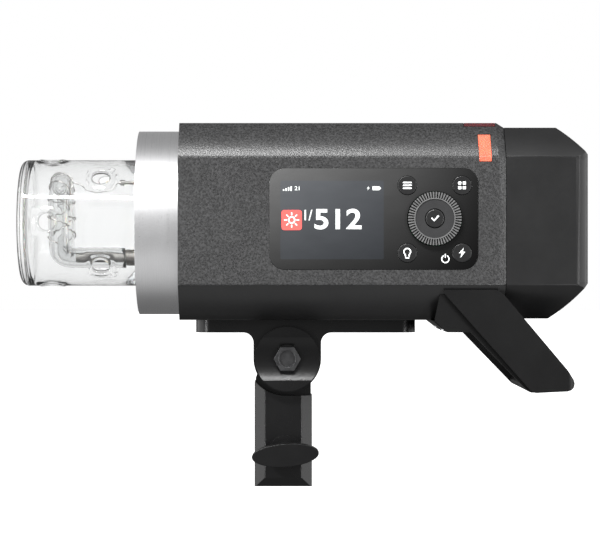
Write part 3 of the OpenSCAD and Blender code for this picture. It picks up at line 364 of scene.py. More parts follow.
def wound_copper(name):
    """Enamelled copper winding."""
    s = Shader(name, Metallic=1.0)
    turns = s.node("ShaderNodeTexWave", wave_type="BANDS", bands_direction="Y")
    s.put(turns.inputs["Vector"], s.place)
    turns.inputs["Scale"].default_value = 300.0
    turns.inputs["Distortion"].default_value = 0.4
    s.surface(Base_Color=s.blend(turns.outputs["Fac"], (0.30, 0.11, 0.04), (0.72, 0.33, 0.13)))
    s.surface(Roughness=s.spread(s.noise(2 * MM), 0.28, 0.42))
    s.bump(turns.outputs["Fac"], 0.12 * MM)
    return s


def sleeved_can(name, colour, band):
    """Heat-shrink sleeve with a pale stripe along it."""
    s = Shader(name, Coat_Weight=0.2)
    stripe = s.math("GREATER_THAN", s.math("SINE", s.math("MULTIPLY", s.axis("Z"), 170.0)), 0.93)
    dark, light = shades(colour, 0.15)
    body = s.blend(s.noise(5 * MM, 4), dark, light)
    s.surface(Base_Color=s.blend(stripe, body, band))
    s.surface(Roughness=s.spread(s.noise(3 * MM), 0.3, 0.42))
    s.bump(s.noise(1.5 * MM, 3), 0.03 * MM)
    return s


def glazed_ceramic(name):
    """Cream ceramic with fine specks under its glaze."""
    s = Shader(name, Subsurface_Weight=0.1, Subsurface_Scale=0.5 * MM)
    specks = s.noise(0.5 * MM, 5, roughness=0.7)
    s.surface(Base_Color=s.blend(s.spread(specks, 0, 1, 0.3, 0.75), (0.62, 0.60, 0.55), (0.8, 0.79, 0.75)))
    s.surface(Roughness=s.spread(s.noise(6 * MM), 0.35, 0.5))
    s.bump(specks, 0.02 * MM)
    return s


def translucent(name, colour, light_out=0.0, rough=0.3, transmission=0.0):
    """Tinted light pipe or window, its tone varying at random."""
    s = Shader(name, Subsurface_Weight=0.25, Subsurface_Scale=1 * MM, Coat_Weight=0.25)
    depth = s.noise(5 * MM, 3)
    dark, light = shades(colour, 0.14)
    tone = s.blend(s.spread(depth, 0, 1), dark, light)
    s.surface(Base_Color=tone, Emission_Color=tone, Emission_Strength=light_out)
    s.surface(Roughness=s.spread(s.noise(1.4 * MM), rough - 0.05, rough + 0.08))
    s.surface(Transmission_Weight=transmission)
    s.bump(s.noise(0.4 * MM, 2), 0.006 * MM)
    return s


SHELL = leather_grain("shell_grain", (0.021, 0.021, 0.0214))
COVER = moulded("cover_satin", (0.009, 0.009, 0.0093), 0.36, 0.3 * MM, 0.008 * MM, DOME)
PACK = moulded("pack_satin", (0.007, 0.007, 0.0072), 0.34, 0.28 * MM, 0.014 * MM, PACK_DOME,
               Specular_IOR_Level=0.35)
INNER = moulded("inner_black", (0.02, 0.02, 0.02), 0.5, 0.5 * MM, 0.02 * MM)
COLLAR = turned_metal("collar_anodised", (0.80, 0.80, 0.81))
DISH = turned_metal("dish_polished", (0.88, 0.88, 0.89), 0.16)
STEEL = plain_metal("zinc_steel", (0.55, 0.55, 0.56))
STEEL_DARK = plain_metal("oxide_steel", (0.07, 0.07, 0.072), 0.38)
WIRE = plain_metal("nickel_wire", (0.32, 0.31, 0.30), 0.3)
ELECTRODE = plain_metal("sintered_metal", (0.09, 0.085, 0.08), 0.45)
GLASS = drawn_glass("cover_glass_clear", (0.98, 0.985, 0.985))
TUBE = drawn_glass("tube_glass_clear", (0.93, 0.935, 0.935), 0.02, 9 * MM, 0.04 * MM)
CERAMIC = glazed_ceramic("socket_ceramic")
LED = translucent("led_phosphor", (0.85, 0.72, 0.33), 0.0, 0.2)
LEAD = moulded("lead_silicone", (0.45, 0.04, 0.03), 0.55, 0.6 * MM, 0.03 * MM)
RUBBER = moulded("flap_rubber", (0.02, 0.02, 0.02), 0.62, 0.25 * MM, 0.03 * MM)
# Corner colours of the panel, upper left to lower right: a painted reflection.
PANEL = painted_reflection_panel("panel_acrylic_painted_reflection", (0.095,) * 3, (0.007,) * 3, (0.018,) * 3, (0.0,) * 3)
BUTTON = moulded("button_rubber", (0.007, 0.007, 0.0073), 0.34, 0.2 * MM, 0.008 * MM, Specular_IOR_Level=0.4)
DIAL = dial_rubber("dial_soft")
BOARD = circuit_board("board_green", (0.02, 0.14, 0.06))
BOARD_BLUE = circuit_board("board_blue", (0.02, 0.06, 0.20))
CORAL = translucent("coral_lens", (0.56, 0.115, 0.066), 0.32)
RED = translucent("red_filter", (0.05, 0.006, 0.008), 0.0, 0.2)
CAPACITOR = sleeved_can("capacitor_sleeve", (0.03, 0.05, 0.12), (0.6, 0.62, 0.66))
CELL = sleeved_can("cell_sleeve", (0.06, 0.22, 0.42), (0.75, 0.77, 0.8))
COPPER = wound_copper("enamelled_copper")
BRASS = plain_metal("gilt_brass", (0.62, 0.42, 0.16), 0.28)
ALUMINIUM = plain_metal("extruded_aluminium", (0.68, 0.69, 0.71), 0.34, (1, 1, 0.1))
CHIP = moulded("epoxy_black", (0.018, 0.018, 0.019), 0.55, 0.4 * MM, 0.02 * MM)
LIGHT_PIPE = translucent("light_pipe_milk", (0.55, 0.70, 0.60), 0.08)
PAINT = powder_coat("bracket_paint", (0.004, 0.004, 0.0042), 0.27)
FIBRE = moulded("fibre_washer", (0.16, 0.14, 0.11), 0.7, 0.4 * MM, 0.05 * MM)
KNOB = moulded("knob_satin", (0.003, 0.003, 0.0031), 0.36, 0.3 * MM, 0.012 * MM, Specular_IOR_Level=0.22)
HANDLE = moulded("handle_fine", (0.003, 0.003, 0.0031), 0.38, 0.3 * MM, 0.02 * MM, Specular_IOR_Level=0.2)
# White print on the keys and the panel, with a painted glow.
INK_PAINTED_GLOW = lit("ink_white_painted_glow", (0.80, 0.82, 0.82), 0.55)
SCREEN_WHITE = lit("screen_white", (0.56, 0.58, 0.57), 0.55)
SCREEN_RED = lit("screen_red", (0.72, 0.085, 0.075), 0.45)
# Corner colours of the screen field: a painted reflection, lightest at the upper left.
SCREEN_DARK = painted_reflection_panel("screen_dark_painted_reflection", (0.085, 0.089, 0.095), (0.018, 0.02, 0.024),
                          (0.026, 0.028, 0.031), (0.006, 0.007, 0.009))

LOOKS = [
    (SHELL, "housing_shell"),
    (COVER, "bottom_cover lock_slider battery_latch"),
    (PACK, "battery_case level_button"),
    (INNER, "capacitor_frame fan_frame battery_bulkhead battery_front"),
    (COLLAR, "mount_ring"),
    (DISH, "reflector_dish"),
    (STEEL, "front_plate ring_screws case_screws bracket_screws glass_clips usb_port"),
    (ELECTRODE, "electrodes"),
    (WIRE, "trigger_wire"),
    (CERAMIC, "tube_socket"),
    (LED, "modelling_lamp"),
    (LEAD, "tube_leads"),
    (RUBBER, "port_cover"),
    (PANEL, "control_panel display_module"),
    (DIAL, "control_dial"),
    (BUTTON, "set_button menu_button mode_button lamp_button flash_button"),
    (BOARD, "control_board main_board"),
    (BOARD_BLUE, "light_sensor radio_module"),
    (CORAL, "indicator_bar"),
    (RED, "sensor_window"),
    (CAPACITOR, "capacitor_bank"),
    (CELL, "battery_cells"),
    (COPPER, "charge_transformer"),
    (BRASS, "contact_blades clamp_shoe"),
    (ALUMINIUM, "heat_sink"),
    (CHIP, "power_transistors sync_jack battery_terminals fan_rotor dial_encoder"),
    (LIGHT_PIPE, "level_lights"),
    (PAINT, "tilt_bracket pivot_cap stand_receiver tilt_lever"),
    (STEEL_DARK, "pivot_bolt"),
    (FIBRE, "friction_washers"),
    (KNOB, "clamp_knob"),
    (HANDLE, "carry_handle"),
    (GLASS, "glass_cover"),
    (TUBE, "flash_tube"),
]

# Radius in millimetres of each node's moulded or broken edges, and its number of steps
EDGES = [
    (1.6, 4, "carry_handle"),
    (1.2, 3, "mount_ring"),
    (0.8, 3, "stand_receiver tilt_lever"),
    (0.6, 3, "tilt_bracket"),
    (0.45, 3, "housing_shell bottom_cover battery_case pivot_cap"),
    (0.3, 2, "lock_slider battery_latch level_button port_cover indicator_bar sensor_window"),
    (1.4, 5, "set_button menu_button mode_button lamp_button flash_button"),
    (0.3, 2, "control_panel"),
    (0.12, 2, "control_dial"),
    (0.3, 2, "battery_front battery_bulkhead fan_frame fan_rotor capacitor_frame tube_socket"),
    (0.25, 2, "pivot_bolt clamp_shoe battery_terminals bracket_screws friction_washers"),
    (0.15, 2, "reflector_dish front_plate glass_clips contact_blades heat_sink usb_port"),
    (0.15, 2, "case_screws ring_screws main_board control_board charge_transformer sync_jack"),
    (0.8, 4, "clamp_knob"),
]


def dress_nodes():
    """Gives each CAD node its material, without changing its mesh."""
    for shader, names in LOOKS:
        for name in names.split():
            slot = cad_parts[name].material_slots[0]
            slot.link = "OBJECT"
            slot.material = shader.mat


def smoothing_group():
    """Node group that drops stored normals and smooths all but sharp edges."""
    group = bpy.data.node_groups.new("smooth_by_angle", "GeometryNodeTree")
    group.interface.new_socket("Geometry", in_out="INPUT", socket_type="NodeSocketGeometry")
    group.interface.new_socket("Geometry", in_out="OUTPUT", socket_type="NodeSocketGeometry")
    add, join = group.nodes.new, group.links.new
    start, end = add("NodeGroupInput"), add("NodeGroupOutput")
    drop = add("GeometryNodeRemoveAttribute")
    drop.inputs["Name"].default_value = "custom_normal"
    faces = add("GeometryNodeSetShadeSmooth")
    faces.domain = "FACE"
    edges = add("GeometryNodeSetShadeSmooth")
    edges.domain = "EDGE"
    edges.inputs["Shade Smooth"].default_value = False
    angle = add("GeometryNodeInputMeshEdgeAngle")
    limit = add("FunctionNodeCompare")
    limit.operation = "GREATER_THAN"
    limit.inputs["B"].default_value = math.radians(32)
    join(angle.outputs["Unsigned Angle"], limit.inputs["A"])
    join(limit.outputs[0], edges.inputs["Selection"])
    join(start.outputs[0], drop.inputs["Geometry"])
    join(drop.outputs[0], faces.inputs["Geometry"])
    join(faces.outputs[0], edges.inputs["Geometry"])
    join(edges.outputs[0], end.inputs[0])
    return group


def round_edges():
    """Gives the CAD nodes listed in EDGES real rounded edges, as a mould or a tool leaves them, and smooths the
    shading of every node.
    """
    smoothing = smoothing_group()
    sizes = {name: (size, steps) for size, steps, names in EDGES for name in names.split()}
    for name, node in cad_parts.items():
        weld = node.modifiers.new("weld", "WELD")
        weld.merge_threshold = 1e-7
        if name in sizes:
            size, steps = sizes[name]
            flat = node.modifiers.new("flat", "DECIMATE")
            flat.decimate_type = "DISSOLVE"
            flat.angle_limit = math.radians(0.5)
            bevel = node.modifiers.new("round", "BEVEL")
            bevel.width = size * MM
            bevel.segments = steps
            bevel.limit_method = "ANGLE"
            bevel.angle_limit = math.radians(32)
            bevel.miter_outer = "MITER_ARC"
            bevel.use_clamp_overlap = True
        smooth = node.modifiers.new("smooth", "NODES")
        smooth.node_group = smoothing
        weights = node.modifiers.new("weights", "WEIGHTED_NORMAL")
        weights.keep_sharp = True


# ---------------------------------------------------------------- mesh helpers

def add_piece(name, mesh, shader, body, smooth=True):
    """Turns a bmesh into a named piece that rides on a body."""
    data = bpy.data.meshes.new(name)
    bmesh.ops.recalc_face_normals(mesh, faces=mesh.faces)
    mesh.to_mesh(data)
    mesh.free()
    data.materials.append(shader.mat)
    for face in data.polygons:
        face.use_smooth = smooth
    piece = bpy.data.objects.new(name, data)
    bpy.context.scene.collection.objects.link(piece)
    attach(piece, body)
    return piece


def bridge(mesh, first, second):
    """Quads between two closed rings of equal length."""
    count = len(first)
    for i in range(count):
        j = (i + 1) % count
        mesh.faces.new((first[i], first[j], second[j], second[i]))


def fan(mesh, ring, point):
    """Triangles from a closed ring to one point."""
    centre = mesh.verts.new(point)
    for i in range(len(ring)):
        mesh.faces.new((ring[i], ring[(i + 1) % len(ring)], centre))


def arc(centre, radius, start, end, steps):
    """Points on an arc, with angles in degrees."""
    angles = [math.radians(start + (end - start) * i / steps) for i in range(steps + 1)]
    return [(centre[0] + radius * math.cos(a), centre[1] + radius * math.sin(a)) for a in angles]


def sweep_rings(mesh, path, radius, steps):
    """Rings of a round section carried along a path; returns them in order."""
    rings = []
    side = None
    for i, point in enumerate(path):
        ahead = (path[min(i + 1, len(path) - 1)] - path[max(i - 1, 0)]).normalized()
        if side is None:
            side = ahead.orthogonal().normalized()
        side = (side - ahead * side.dot(ahead)).normalized()
        up = ahead.cross(side)
        size = radius(i / (len(path) - 1)) if callable(radius) else radius
        turns = [2 * math.pi * k / steps for k in range(steps)]
        rings.append([mesh.verts.new(point + size * (side * math.cos(t) + up * math.sin(t))) for t in turns])
    for first, second in zip(rings, rings[1:]):
        bridge(mesh, first, second)
    return rings


def rod(mesh, path, radius, steps=12):
    """Closed round wire along a path."""
    rings = sweep_rings(mesh, path, radius, steps)
    fan(mesh, rings[0], path[0])
    fan(mesh, rings[-1], path[-1])


# ---------------------------------------------------------------- clear cover

AROUND = 96
TURN = 2 * math.pi / AROUND
WALL = 1.8 * MM
BASE_WALL = 3.6 * MM
FRONT = 4.6 * MM
# Vents: distance of each row from the front, and half the width of their squares in cells
VENT_ROWS = (16.5 * MM, 44.5 * MM)
VENT_CELLS = 4
VENT_CELL = 2.1 * MM
VENT_HOLE = 4.5 * MM
VENT_LIP = 1.35 * MM


def smooth_step(share):
    """Share of the way that starts and ends gently."""
    return share * share * (3 - 2 * share)


def cover_point(x, angle, radius):
    """Point round the X axis, with the angle counted from the top."""
    return Vector((x, -radius * math.sin(angle), radius * math.cos(angle)))


def angle_from(start, point):
    """Signed turn about X from the start angle to a point."""
    turn = math.atan2(-point.y, point.z) - start
    return (turn + math.pi) % (2 * math.pi) - math.pi


def cover_lines(front):
    """Stations along the cover: even cells over each row of vents, and a few between."""
    cells = [k * VENT_CELL for k in range(-VENT_CELLS, VENT_CELLS + 1)]
    first, second = (front + row for row in VENT_ROWS)
    lines = [first + cell for cell in cells]
    gap = second + cells[0] - lines[-1]
    lines += [lines[-1] + gap * k / 5 for k in range(1, 5)]
    return lines + [second + cell for cell in cells]


def vent_places(lines):
    """Grid places of the vents: four round each row, with the second row staggered."""
    quarter = AROUND // 4
    stations = (VENT_CELLS, len(lines) - 1 - VENT_CELLS)
    return [(i, k * quarter + row * quarter // 2) for row, i in enumerate(stations) for k in range(4)]


def vent_border():
    """Steps round the square of cells that a vent replaces."""
    n = VENT_CELLS
    border = [(k, -n) for k in range(-n, n)] + [(n, k) for k in range(-n, n)]
    return border + [(-k, n) for k in range(-n, n)] + [(-n, -k) for k in range(-n, n)]


def vent_profile():
    """Steps over a vent's rounded lip, from the outer wall to the inner wall.

    Each is the share of the way to the lip, the reach beyond the hole and the height
    above the wall's middle.
    """
    slope = [(share, WALL / 2 + smooth_step(share) * (VENT_LIP - WALL / 2)) for share in (0.25, 0.5, 0.72, 0.88)]
    steps = [(share, 0.0, height) for share, height in slope]
    for degrees in range(0, 181, 20):
        turn = math.radians(degrees)
        steps.append((1.0, VENT_LIP - VENT_LIP * math.sin(turn), VENT_LIP * math.cos(turn)))
    return steps + [(share, 0.0, -height) for share, height in reversed(slope)]


def vent_rings(mesh, place, radius, edge_out, edge_in):
    """One vent with a melted rim, between its borders in the outer and the inner wall."""
    x, angle = place
    flat = [Vector((v.co.x - x, radius * angle_from(angle, v.co))) for v in edge_out]
    rings = [edge_out]
    for share, reach, height in vent_profile():
        ring = []
        for p in flat:
            if share < 1:
                spot = p.lerp(p.normalized() * (VENT_HOLE + VENT_LIP), share)
            else:
                spot = p.normalized() * (VENT_HOLE + reach)
            ring.append(mesh.verts.new(cover_point(x + spot.x, angle + spot.y / radius, radius + height)))
        rings.append(ring)
    rings.append(edge_in)
    for first, second in zip(rings, rings[1:]):
        bridge(mesh, first, second)


def wall_faces(mesh, skin, lines, vents):
    """Outer and inner wall, left open where the vents go."""
    reach = range(-VENT_CELLS, VENT_CELLS)
    open_cells = {(i + a, (j + b) % AROUND) for i, j in vents for a in reach for b in reach}
    for i in range(len(lines) - 1):
        for j in range(AROUND):
            if (i, j) in open_cells:
                continue
            after = (j + 1) % AROUND
            for side in (0, 1):
                corners = [(i, j), (i + 1, j), (i + 1, after), (i, after)]
                mesh.faces.new([skin[side, a, b] for a, b in corners])


def front_profiles(front, outer):
    """Outer and inner half section of the thick front, from near the axis to the wall."""
    edge, fillet = 4 * MM, 3 * MM
    inside_x, inside = front + FRONT, outer - WALL
    skin = [(front, outer * k / 7) for k in range(1, 7)]
    skin += arc((front + edge, outer - edge), edge, 180, 90, 8)
    hollow = [(inside_x, inside * k / 7) for k in range(1, 7)]
    hollow += arc((inside_x + fillet, inside - fillet), fillet, 180, 90, 6)
    return skin, hollow


def rear_profile(rear, outer, wall_end):
    """Section of the thick base: its rounded rim, then its taper to the inner wall."""
    edge, steps = 0.8 * MM, 12
    base, inside, start = outer - BASE_WALL, outer - WALL, rear - 3 * MM
    section = arc((rear - edge, outer - edge), edge, 90, 0, 4)
    section += arc((rear - edge, base + edge), edge, 0, -90, 4)
    for k in range(steps):
        share = k / steps
        section.append((start + (wall_end - start) * share, base + (inside - base) * smooth_step(share)))
    return section


def spin(mesh, profile, ring):
    """Turns a profile about X from a ring of the wall; returns the last ring."""
    for x, radius in profile:
        new = [mesh.verts.new(cover_point(x, j * TURN, radius)) for j in range(AROUND)]
        bridge(mesh, ring, new)
        ring = new
    return ring


def cover_glass():
    """Blown cover with a thick front, a thick base and two rows of melted vents."""
    low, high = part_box("glass_cover")
    outer = (high.z - low.z) / 2
    lines = cover_lines(low.x)
    vents = vent_places(lines)
    mesh = bmesh.new()
    skin = {(side, i, j): mesh.verts.new(cover_point(x, j * TURN, radius))
            for side, radius in enumerate((outer, outer - WALL))
            for i, x in enumerate(lines) for j in range(AROUND)}
    wall_faces(mesh, skin, lines, vents)
    for i, j in vents:
        edges = [[skin[side, i + a, (j + b) % AROUND] for a, b in vent_border()] for side in (0, 1)]
        vent_rings(mesh, (lines[i], j * TURN), outer - WALL / 2, *edges)
    for side, profile in enumerate(front_profiles(low.x, outer)):
        ring = spin(mesh, reversed(profile), [skin[side, 0, j] for j in range(AROUND)])
        fan(mesh, ring, (low.x + side * FRONT, 0, 0))
    last = len(lines) - 1
    ring = spin(mesh, rear_profile(high.x, outer, lines[last]), [skin[0, last, j] for j in range(AROUND)])
    bridge(mesh, ring, [skin[1, last, j] for j in range(AROUND)])
    piece = add_piece("cover_glass", mesh, GLASS, "tube_cover")
    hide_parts("glass_cover")


# ---------------------------------------------------------------- flash tube

TUBE_R = 5.4 * MM
BORE_R = 4.0 * MM
ELBOW_R = 6.4 * MM
# Half the gap at the bottom of the ring, where the tube turns back into its legs
OPEN = math.radians(38)


def ring_frame():
    """Plane, centre height and radius of the flash tube's ring, from its CAD node."""
    low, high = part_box("flash_tube")
    radius = high.y - TUBE_R
    return low.x + TUBE_R, high.z - TUBE_R - radius, radius


RING_X, RING_Z, RING_R = ring_frame()


def ring_point(angle, out=0.0, along=0.0):
    """Point of the ring, with the angle counted from its lowest point."""
    reach = RING_R + out
    return Vector((RING_X + along, reach * math.sin(angle), RING_Z - reach * math.cos(angle)))


def tube_path(end_x):
    """Leg, elbow, ring, elbow and leg of the tube's centre line."""
    start = ring_point(OPEN)
    tangent = Vector((0, -math.cos(OPEN), -math.sin(OPEN)))
    forward = Vector((1, 0, 0))
    leg = []
    for k in range(13):
        a = math.radians(90 * k / 12)
        leg.append(start + ELBOW_R * (forward * (1 - math.cos(a)) + tangent * math.sin(a)))
    corner = leg[-1]
    leg += [corner + forward * (end_x - corner.x) * k / 10 for k in range(1, 11)]
    mirrored = [Vector((p.x, -p.y, p.z)) for p in leg]
    count = 72
    ring = [ring_point(OPEN + (2 * math.pi - 2 * OPEN) * k / count) for k in range(1, count)]
    return list(reversed(leg)) + ring + mirrored


def flash_tube():
    """Hollow glass tube with an even wall."""
    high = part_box("flash_tube")[1]
    path = tube_path(high.x)
    mesh = bmesh.new()
    outer = sweep_rings(mesh, path, TUBE_R, 32)
    inner = sweep_rings(mesh, path, BORE_R, 32)
    bridge(mesh, outer[0], inner[0])
    bridge(mesh, outer[-1], inner[-1])
    piece = add_piece("tube_glass", mesh, TUBE, "head")
    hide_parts("flash_tube")


def winding(reach):
    """Nine turns of wire round the upper part of the tube's ring."""
    turns, steps = 9, 40
    coil = []
    for k in range(turns * steps + 1):
        share = k / (turns * steps)
        angle = math.radians(62 + 236 * share)
        wind = 2 * math.pi * turns * share
        coil.append(ring_point(angle, reach * math.cos(wind), reach * math.sin(wind)))
    return coil


def feed_wire(start, end, height):
    """Slack wire from the ring back to the post."""
    steps, slack, sway = 32, 4.5 * MM, -1.6 * MM
    path = []
    for k in range(steps + 1):
        share = k / steps
        dip = slack * math.sin(math.pi * share) ** 2
        path.append(Vector((start + (end - start) * share, sway * math.sin(2 * math.pi * share), height - dip)))
    return path


def tie_wire(x, height):
    """Three close turns of wire round the post."""
    radius, pitch = 1.5 * MM, 0.05 * MM
    angles = [math.radians(18 * k) for k in range(61)]
    return [Vector((x + pitch * k, radius * math.sin(a), height + radius * math.cos(a)))
            for k, a in enumerate(angles)]


def post_radius(share):
    """Radius along the post, which is rounded off at both ends."""
    return 1.0 * MM if 0.01 < share < 0.99 else 0.7 * MM


def ignition_wire():
    """Bare wire wound round the tube, its feed wire, and the post it is tied to."""
    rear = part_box("trigger_wire")[1].x
    wire, post_x = 0.32 * MM, -10 * MM
    reach = TUBE_R + wire + 0.1 * MM
    top = ring_point(math.pi).z
    mesh = bmesh.new()
    rod(mesh, winding(reach), wire, 8)
    rod(mesh, feed_wire(RING_X + reach, post_x, top), wire, 8)
    rod(mesh, tie_wire(post_x, top), wire, 8)
    stations = (post_x - 1 * MM, post_x - 0.6 * MM, post_x, rear - 0.2 * MM, rear)
    rod(mesh, [Vector((x, 0, top)) for x in stations], post_radius, 16)
    piece = add_piece("ignition_wire", mesh, WIRE, "head")
    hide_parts("trigger_wire")


# ---------------------------------------------------------------- icons

class Sketch:
    """Flat marks on a face that looks along -Y, drawn in X and Z from a centre."""

    def __init__(self, x, z, face):
        self.mesh = bmesh.new()
        self.x, self.z, self.face = x, z, face

    def prism(self, outline):
        """Closed plate whose outline is given in millimetres from the centre."""
        layers = []
        for y in (self.face - DECAL, self.face + DECAL):
            layers.append([self.mesh.verts.new((self.x + px * MM, y, self.z + pz * MM)) for px, pz in outline])
        self.mesh.faces.new(layers[0])
        self.mesh.faces.new(list(reversed(layers[1])))
        bridge(self.mesh, layers[0], layers[1])

    def band(self, points, width, closed=False):
        """Line of even width through points, with round ends unless it closes."""
        left, right = [], []
        count = len(points)
        for i, (px, pz) in enumerate(points):
            last = points[(i - 1) % count] if closed else points[max(i - 1, 0)]
            after = points[(i + 1) % count] if closed else points[min(i + 1, count - 1)]
            dx, dz = after[0] - last[0], after[1] - last[1]
            size = math.hypot(dx, dz)
            nx, nz = -dz / size * width / 2, dx / size * width / 2
            left.append((px + nx, pz + nz))
            right.append((px - nx, pz - nz))
        if closed:
            self.ring_prism(left, right)
            return
        end = math.degrees(math.atan2(points[-1][1] - points[-2][1], points[-1][0] - points[-2][0]))
        start = math.degrees(math.atan2(points[1][1] - points[0][1], points[1][0] - points[0][0]))
        cap_end = arc(points[-1], width / 2, end + 90, end - 90, 6)
        cap_start = arc(points[0], width / 2, start - 90, start - 270, 6)
        self.prism(left[:-1] + cap_end + list(reversed(right[:-1]))[:-1] + cap_start)

    def ring_prism(self, outer, inner):
        """Closed plate between two outlines of equal length."""
        rings = []
        for y, outline in ((self.face - DECAL, outer), (self.face - DECAL, inner),
                           (self.face + DECAL, inner), (self.face + DECAL, outer)):
            rings.append([self.mesh.verts.new((self.x + px * MM, y, self.z + pz * MM)) for px, pz in outline])
        for first, second in zip(rings, rings[1:] + rings[:1]):
            bridge(self.mesh, first, second)

    def box(self, px, pz, width, height, corner=0.3):
        a, b = width / 2 - corner, height / 2 - corner
        outline = []
        for cx, cz, start in ((a, b, 0), (-a, b, 90), (-a, -b, 180), (a, -b, 270)):
            outline += arc((px + cx, pz + cz), corner, start, start + 90, 4)
        self.prism(outline)

    def done(self, name, shader, body, slot):
        return add_piece(name, self.mesh, shader, body, smooth=False)


def digits(name, text, size, x, z, face, shader, bold):
    """Plain numerals of a width and height; x and z are the middle of their left edge."""
    width, height = size
    curve = bpy.data.curves.new(name, "FONT")
    curve.body = text
    curve.size = 1.38 * height
    curve.offset = bold
    curve.extrude = DECAL
    curve.align_y = "CENTER"
    maker = bpy.data.objects.new(name + "_maker", curve)
    bpy.context.scene.collection.objects.link(maker)
    bpy.context.view_layer.update()
    graph = bpy.context.evaluated_depsgraph_get()
    data = bpy.data.meshes.new_from_object(maker.evaluated_get(graph))
    bpy.data.objects.remove(maker)
    mesh = bmesh.new()
    mesh.from_mesh(data)
    bpy.data.meshes.remove(data)
    mesh.transform(Matrix.Rotation(math.radians(90), 4, "X"))
    bmesh.ops.remove_doubles(mesh, verts=mesh.verts, dist=1e-6)
    left, right = min(v.co.x for v in mesh.verts), max(v.co.x for v in mesh.verts)
    low, high = min(v.co.z for v in mesh.verts), max(v.co.z for v in mesh.verts)
    fit = Matrix.Diagonal((width / (right - left), 1, height / (high - low), 1))
    mesh.transform(fit @ Matrix.Translation((-left, 0, -(low + high) / 2)))
    mesh.transform(Matrix.Translation((x, face, z)))
    return add_piece(name, mesh, shader, "head", smooth=False)


def middle(node):
    """Centre of a CAD node's box, and its front face."""
    low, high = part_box(node)
    return (low + high) / 2, low.y


def key_sketch(node):
    """Empty sketch on the face of a button."""
    spot, face = middle(node)
    return Sketch(spot.x, spot.z, face)


def menu_icon():
    mark = key_sketch("menu_button")
    for row in (-1.5, 0, 1.5):
        mark.band([(-2, row), (2, row)], 0.7)
    mark.done("menu_icon", INK_PAINTED_GLOW, "menu_key", "button_black")


def mode_icon():
    mark = key_sketch("mode_button")
    for px in (-1.2, 1.2):
        for pz in (-1.2, 1.2):
            mark.box(px, pz, 1.6, 1.6)
    mark.done("mode_icon", INK_PAINTED_GLOW, "mode_key", "button_black")


def lamp_icon():
    mark = key_sketch("lamp_button")
    bulb = arc((0, 0.6), 1.75, -52, 232, 24)
    mark.band([(0.95, -1.7)] + bulb + [(-0.95, -1.7)], 0.6)
    mark.band([(-0.75, -2.55), (0.75, -2.55)], 0.65)
    mark.done("lamp_icon", INK_PAINTED_GLOW, "lamp_key", "button_black")


def flash_icon():
    mark = key_sketch("flash_button")
    mark.prism([(0.9, 2.7), (-1.6, -0.1), (-0.2, -0.1), (-0.9, -2.6), (1.6, 0.6), (0.3, 0.6)])
    mark.done("flash_icon", INK_PAINTED_GLOW, "flash_key", "button_black")


def set_icon():
    mark = key_sketch("set_button")
    mark.band([(-1.5, 0.1), (-0.4, -1.1), (1.7, 1.2)], 0.75)
    mark.done("set_icon", INK_PAINTED_GLOW, "set_key", "button_black")


def button_icons():
    """Plain symbols on the five keys."""
    menu_icon()
    mode_icon()
    lamp_icon()
    flash_icon()
    set_icon()


def power_icon(face):
    """Power symbol below the dial."""
    dial = middle("control_dial")[0]
    mark = Sketch(dial.x + 5.6 * MM, dial.z - 21.1 * MM, face)
    mark.band(arc((0, 0), 1.9, 125, 415, 24), 0.55)
    mark.band([(0, 0.9), (0, 2.4)], 0.55)
    mark.done("power_icon", INK_PAINTED_GLOW, "head", "panel_gloss")


def screen_tile(x, z, face):
    """Red tile with a plain sun."""
    tile = Sketch(x, z, face)
    tile.box(0, 0, 10.6, 10.5, 1.4)
    tile.done("screen_tile", SCREEN_RED, "head", "panel_gloss")
    sun = Sketch(x, z, face - DECAL)
    sun.band(arc((0, 0), 1.6, 0, 360, 24)[:-1], 0.8, closed=True)
    for k in range(8):
        ray = [(r * math.cos(math.pi * k / 4), r * math.sin(math.pi * k / 4)) for r in (2.7, 3.7)]
        sun.band(ray, 0.7)
    sun.done("screen_symbol", SCREEN_WHITE, "head", "panel_gloss")


def screen_status(x, z, face):
    """Signal bars, charge mark and battery along the screen's top."""
    status = Sketch(x, z, face)
    for k in range(4):
        status.box(-25.3 + 1.3 * k, -0.9 + 0.25 * k, 0.8, 0.9 + 0.5 * k, 0.15)
    status.box(23, 0, 3.8, 2.1, 0.35)
    status.box(25.3, 0, 0.4, 1.0, 0.1)
    status.prism([(19.2, 1.2), (18.2, -0.1), (18.9, -0.1), (18.5, -1.2), (19.8, 0.3), (19.1, 0.3)])
    status.done("screen_status", SCREEN_WHITE, "head", "panel_gloss")


def panel_marks():
    """Power symbol and the colour screen's readout."""
    low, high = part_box("control_panel")
    face, ink = low.y, low.y - DECAL
    x, z = (low.x + high.x) / 2 - 21.8 * MM, (low.z + high.z) / 2 - 0.6 * MM
    top = z + 16.6 * MM
    power_icon(face)
    # Dark screen field; its fade from corner to corner is a painted reflection.
    glow = Sketch(x, z, face + DECAL / 2)
    glow.box(0, 0, 54, 41, 0.8)
    glow.done("screen_field", SCREEN_DARK, "head", "panel_gloss")
    screen_tile(x - 21.1 * MM, z, ink)
    digits("screen_fraction", "1/", (4.1 * MM, 5.6 * MM), x - 14.4 * MM, z + 2.6 * MM,
           ink, SCREEN_WHITE, 0.08 * MM)
    digits("screen_number", "512", (24.6 * MM, 10.8 * MM), x - 9.2 * MM, z + 0.5 * MM,
           ink, SCREEN_WHITE, 0.3 * MM)
    screen_status(x, top, ink)
    digits("screen_channel", "21", (2.6 * MM, 2.1 * MM), x - 19.6 * MM, top, ink, SCREEN_WHITE, 0.04 * MM)


# ---------------------------------------------------------------- studio

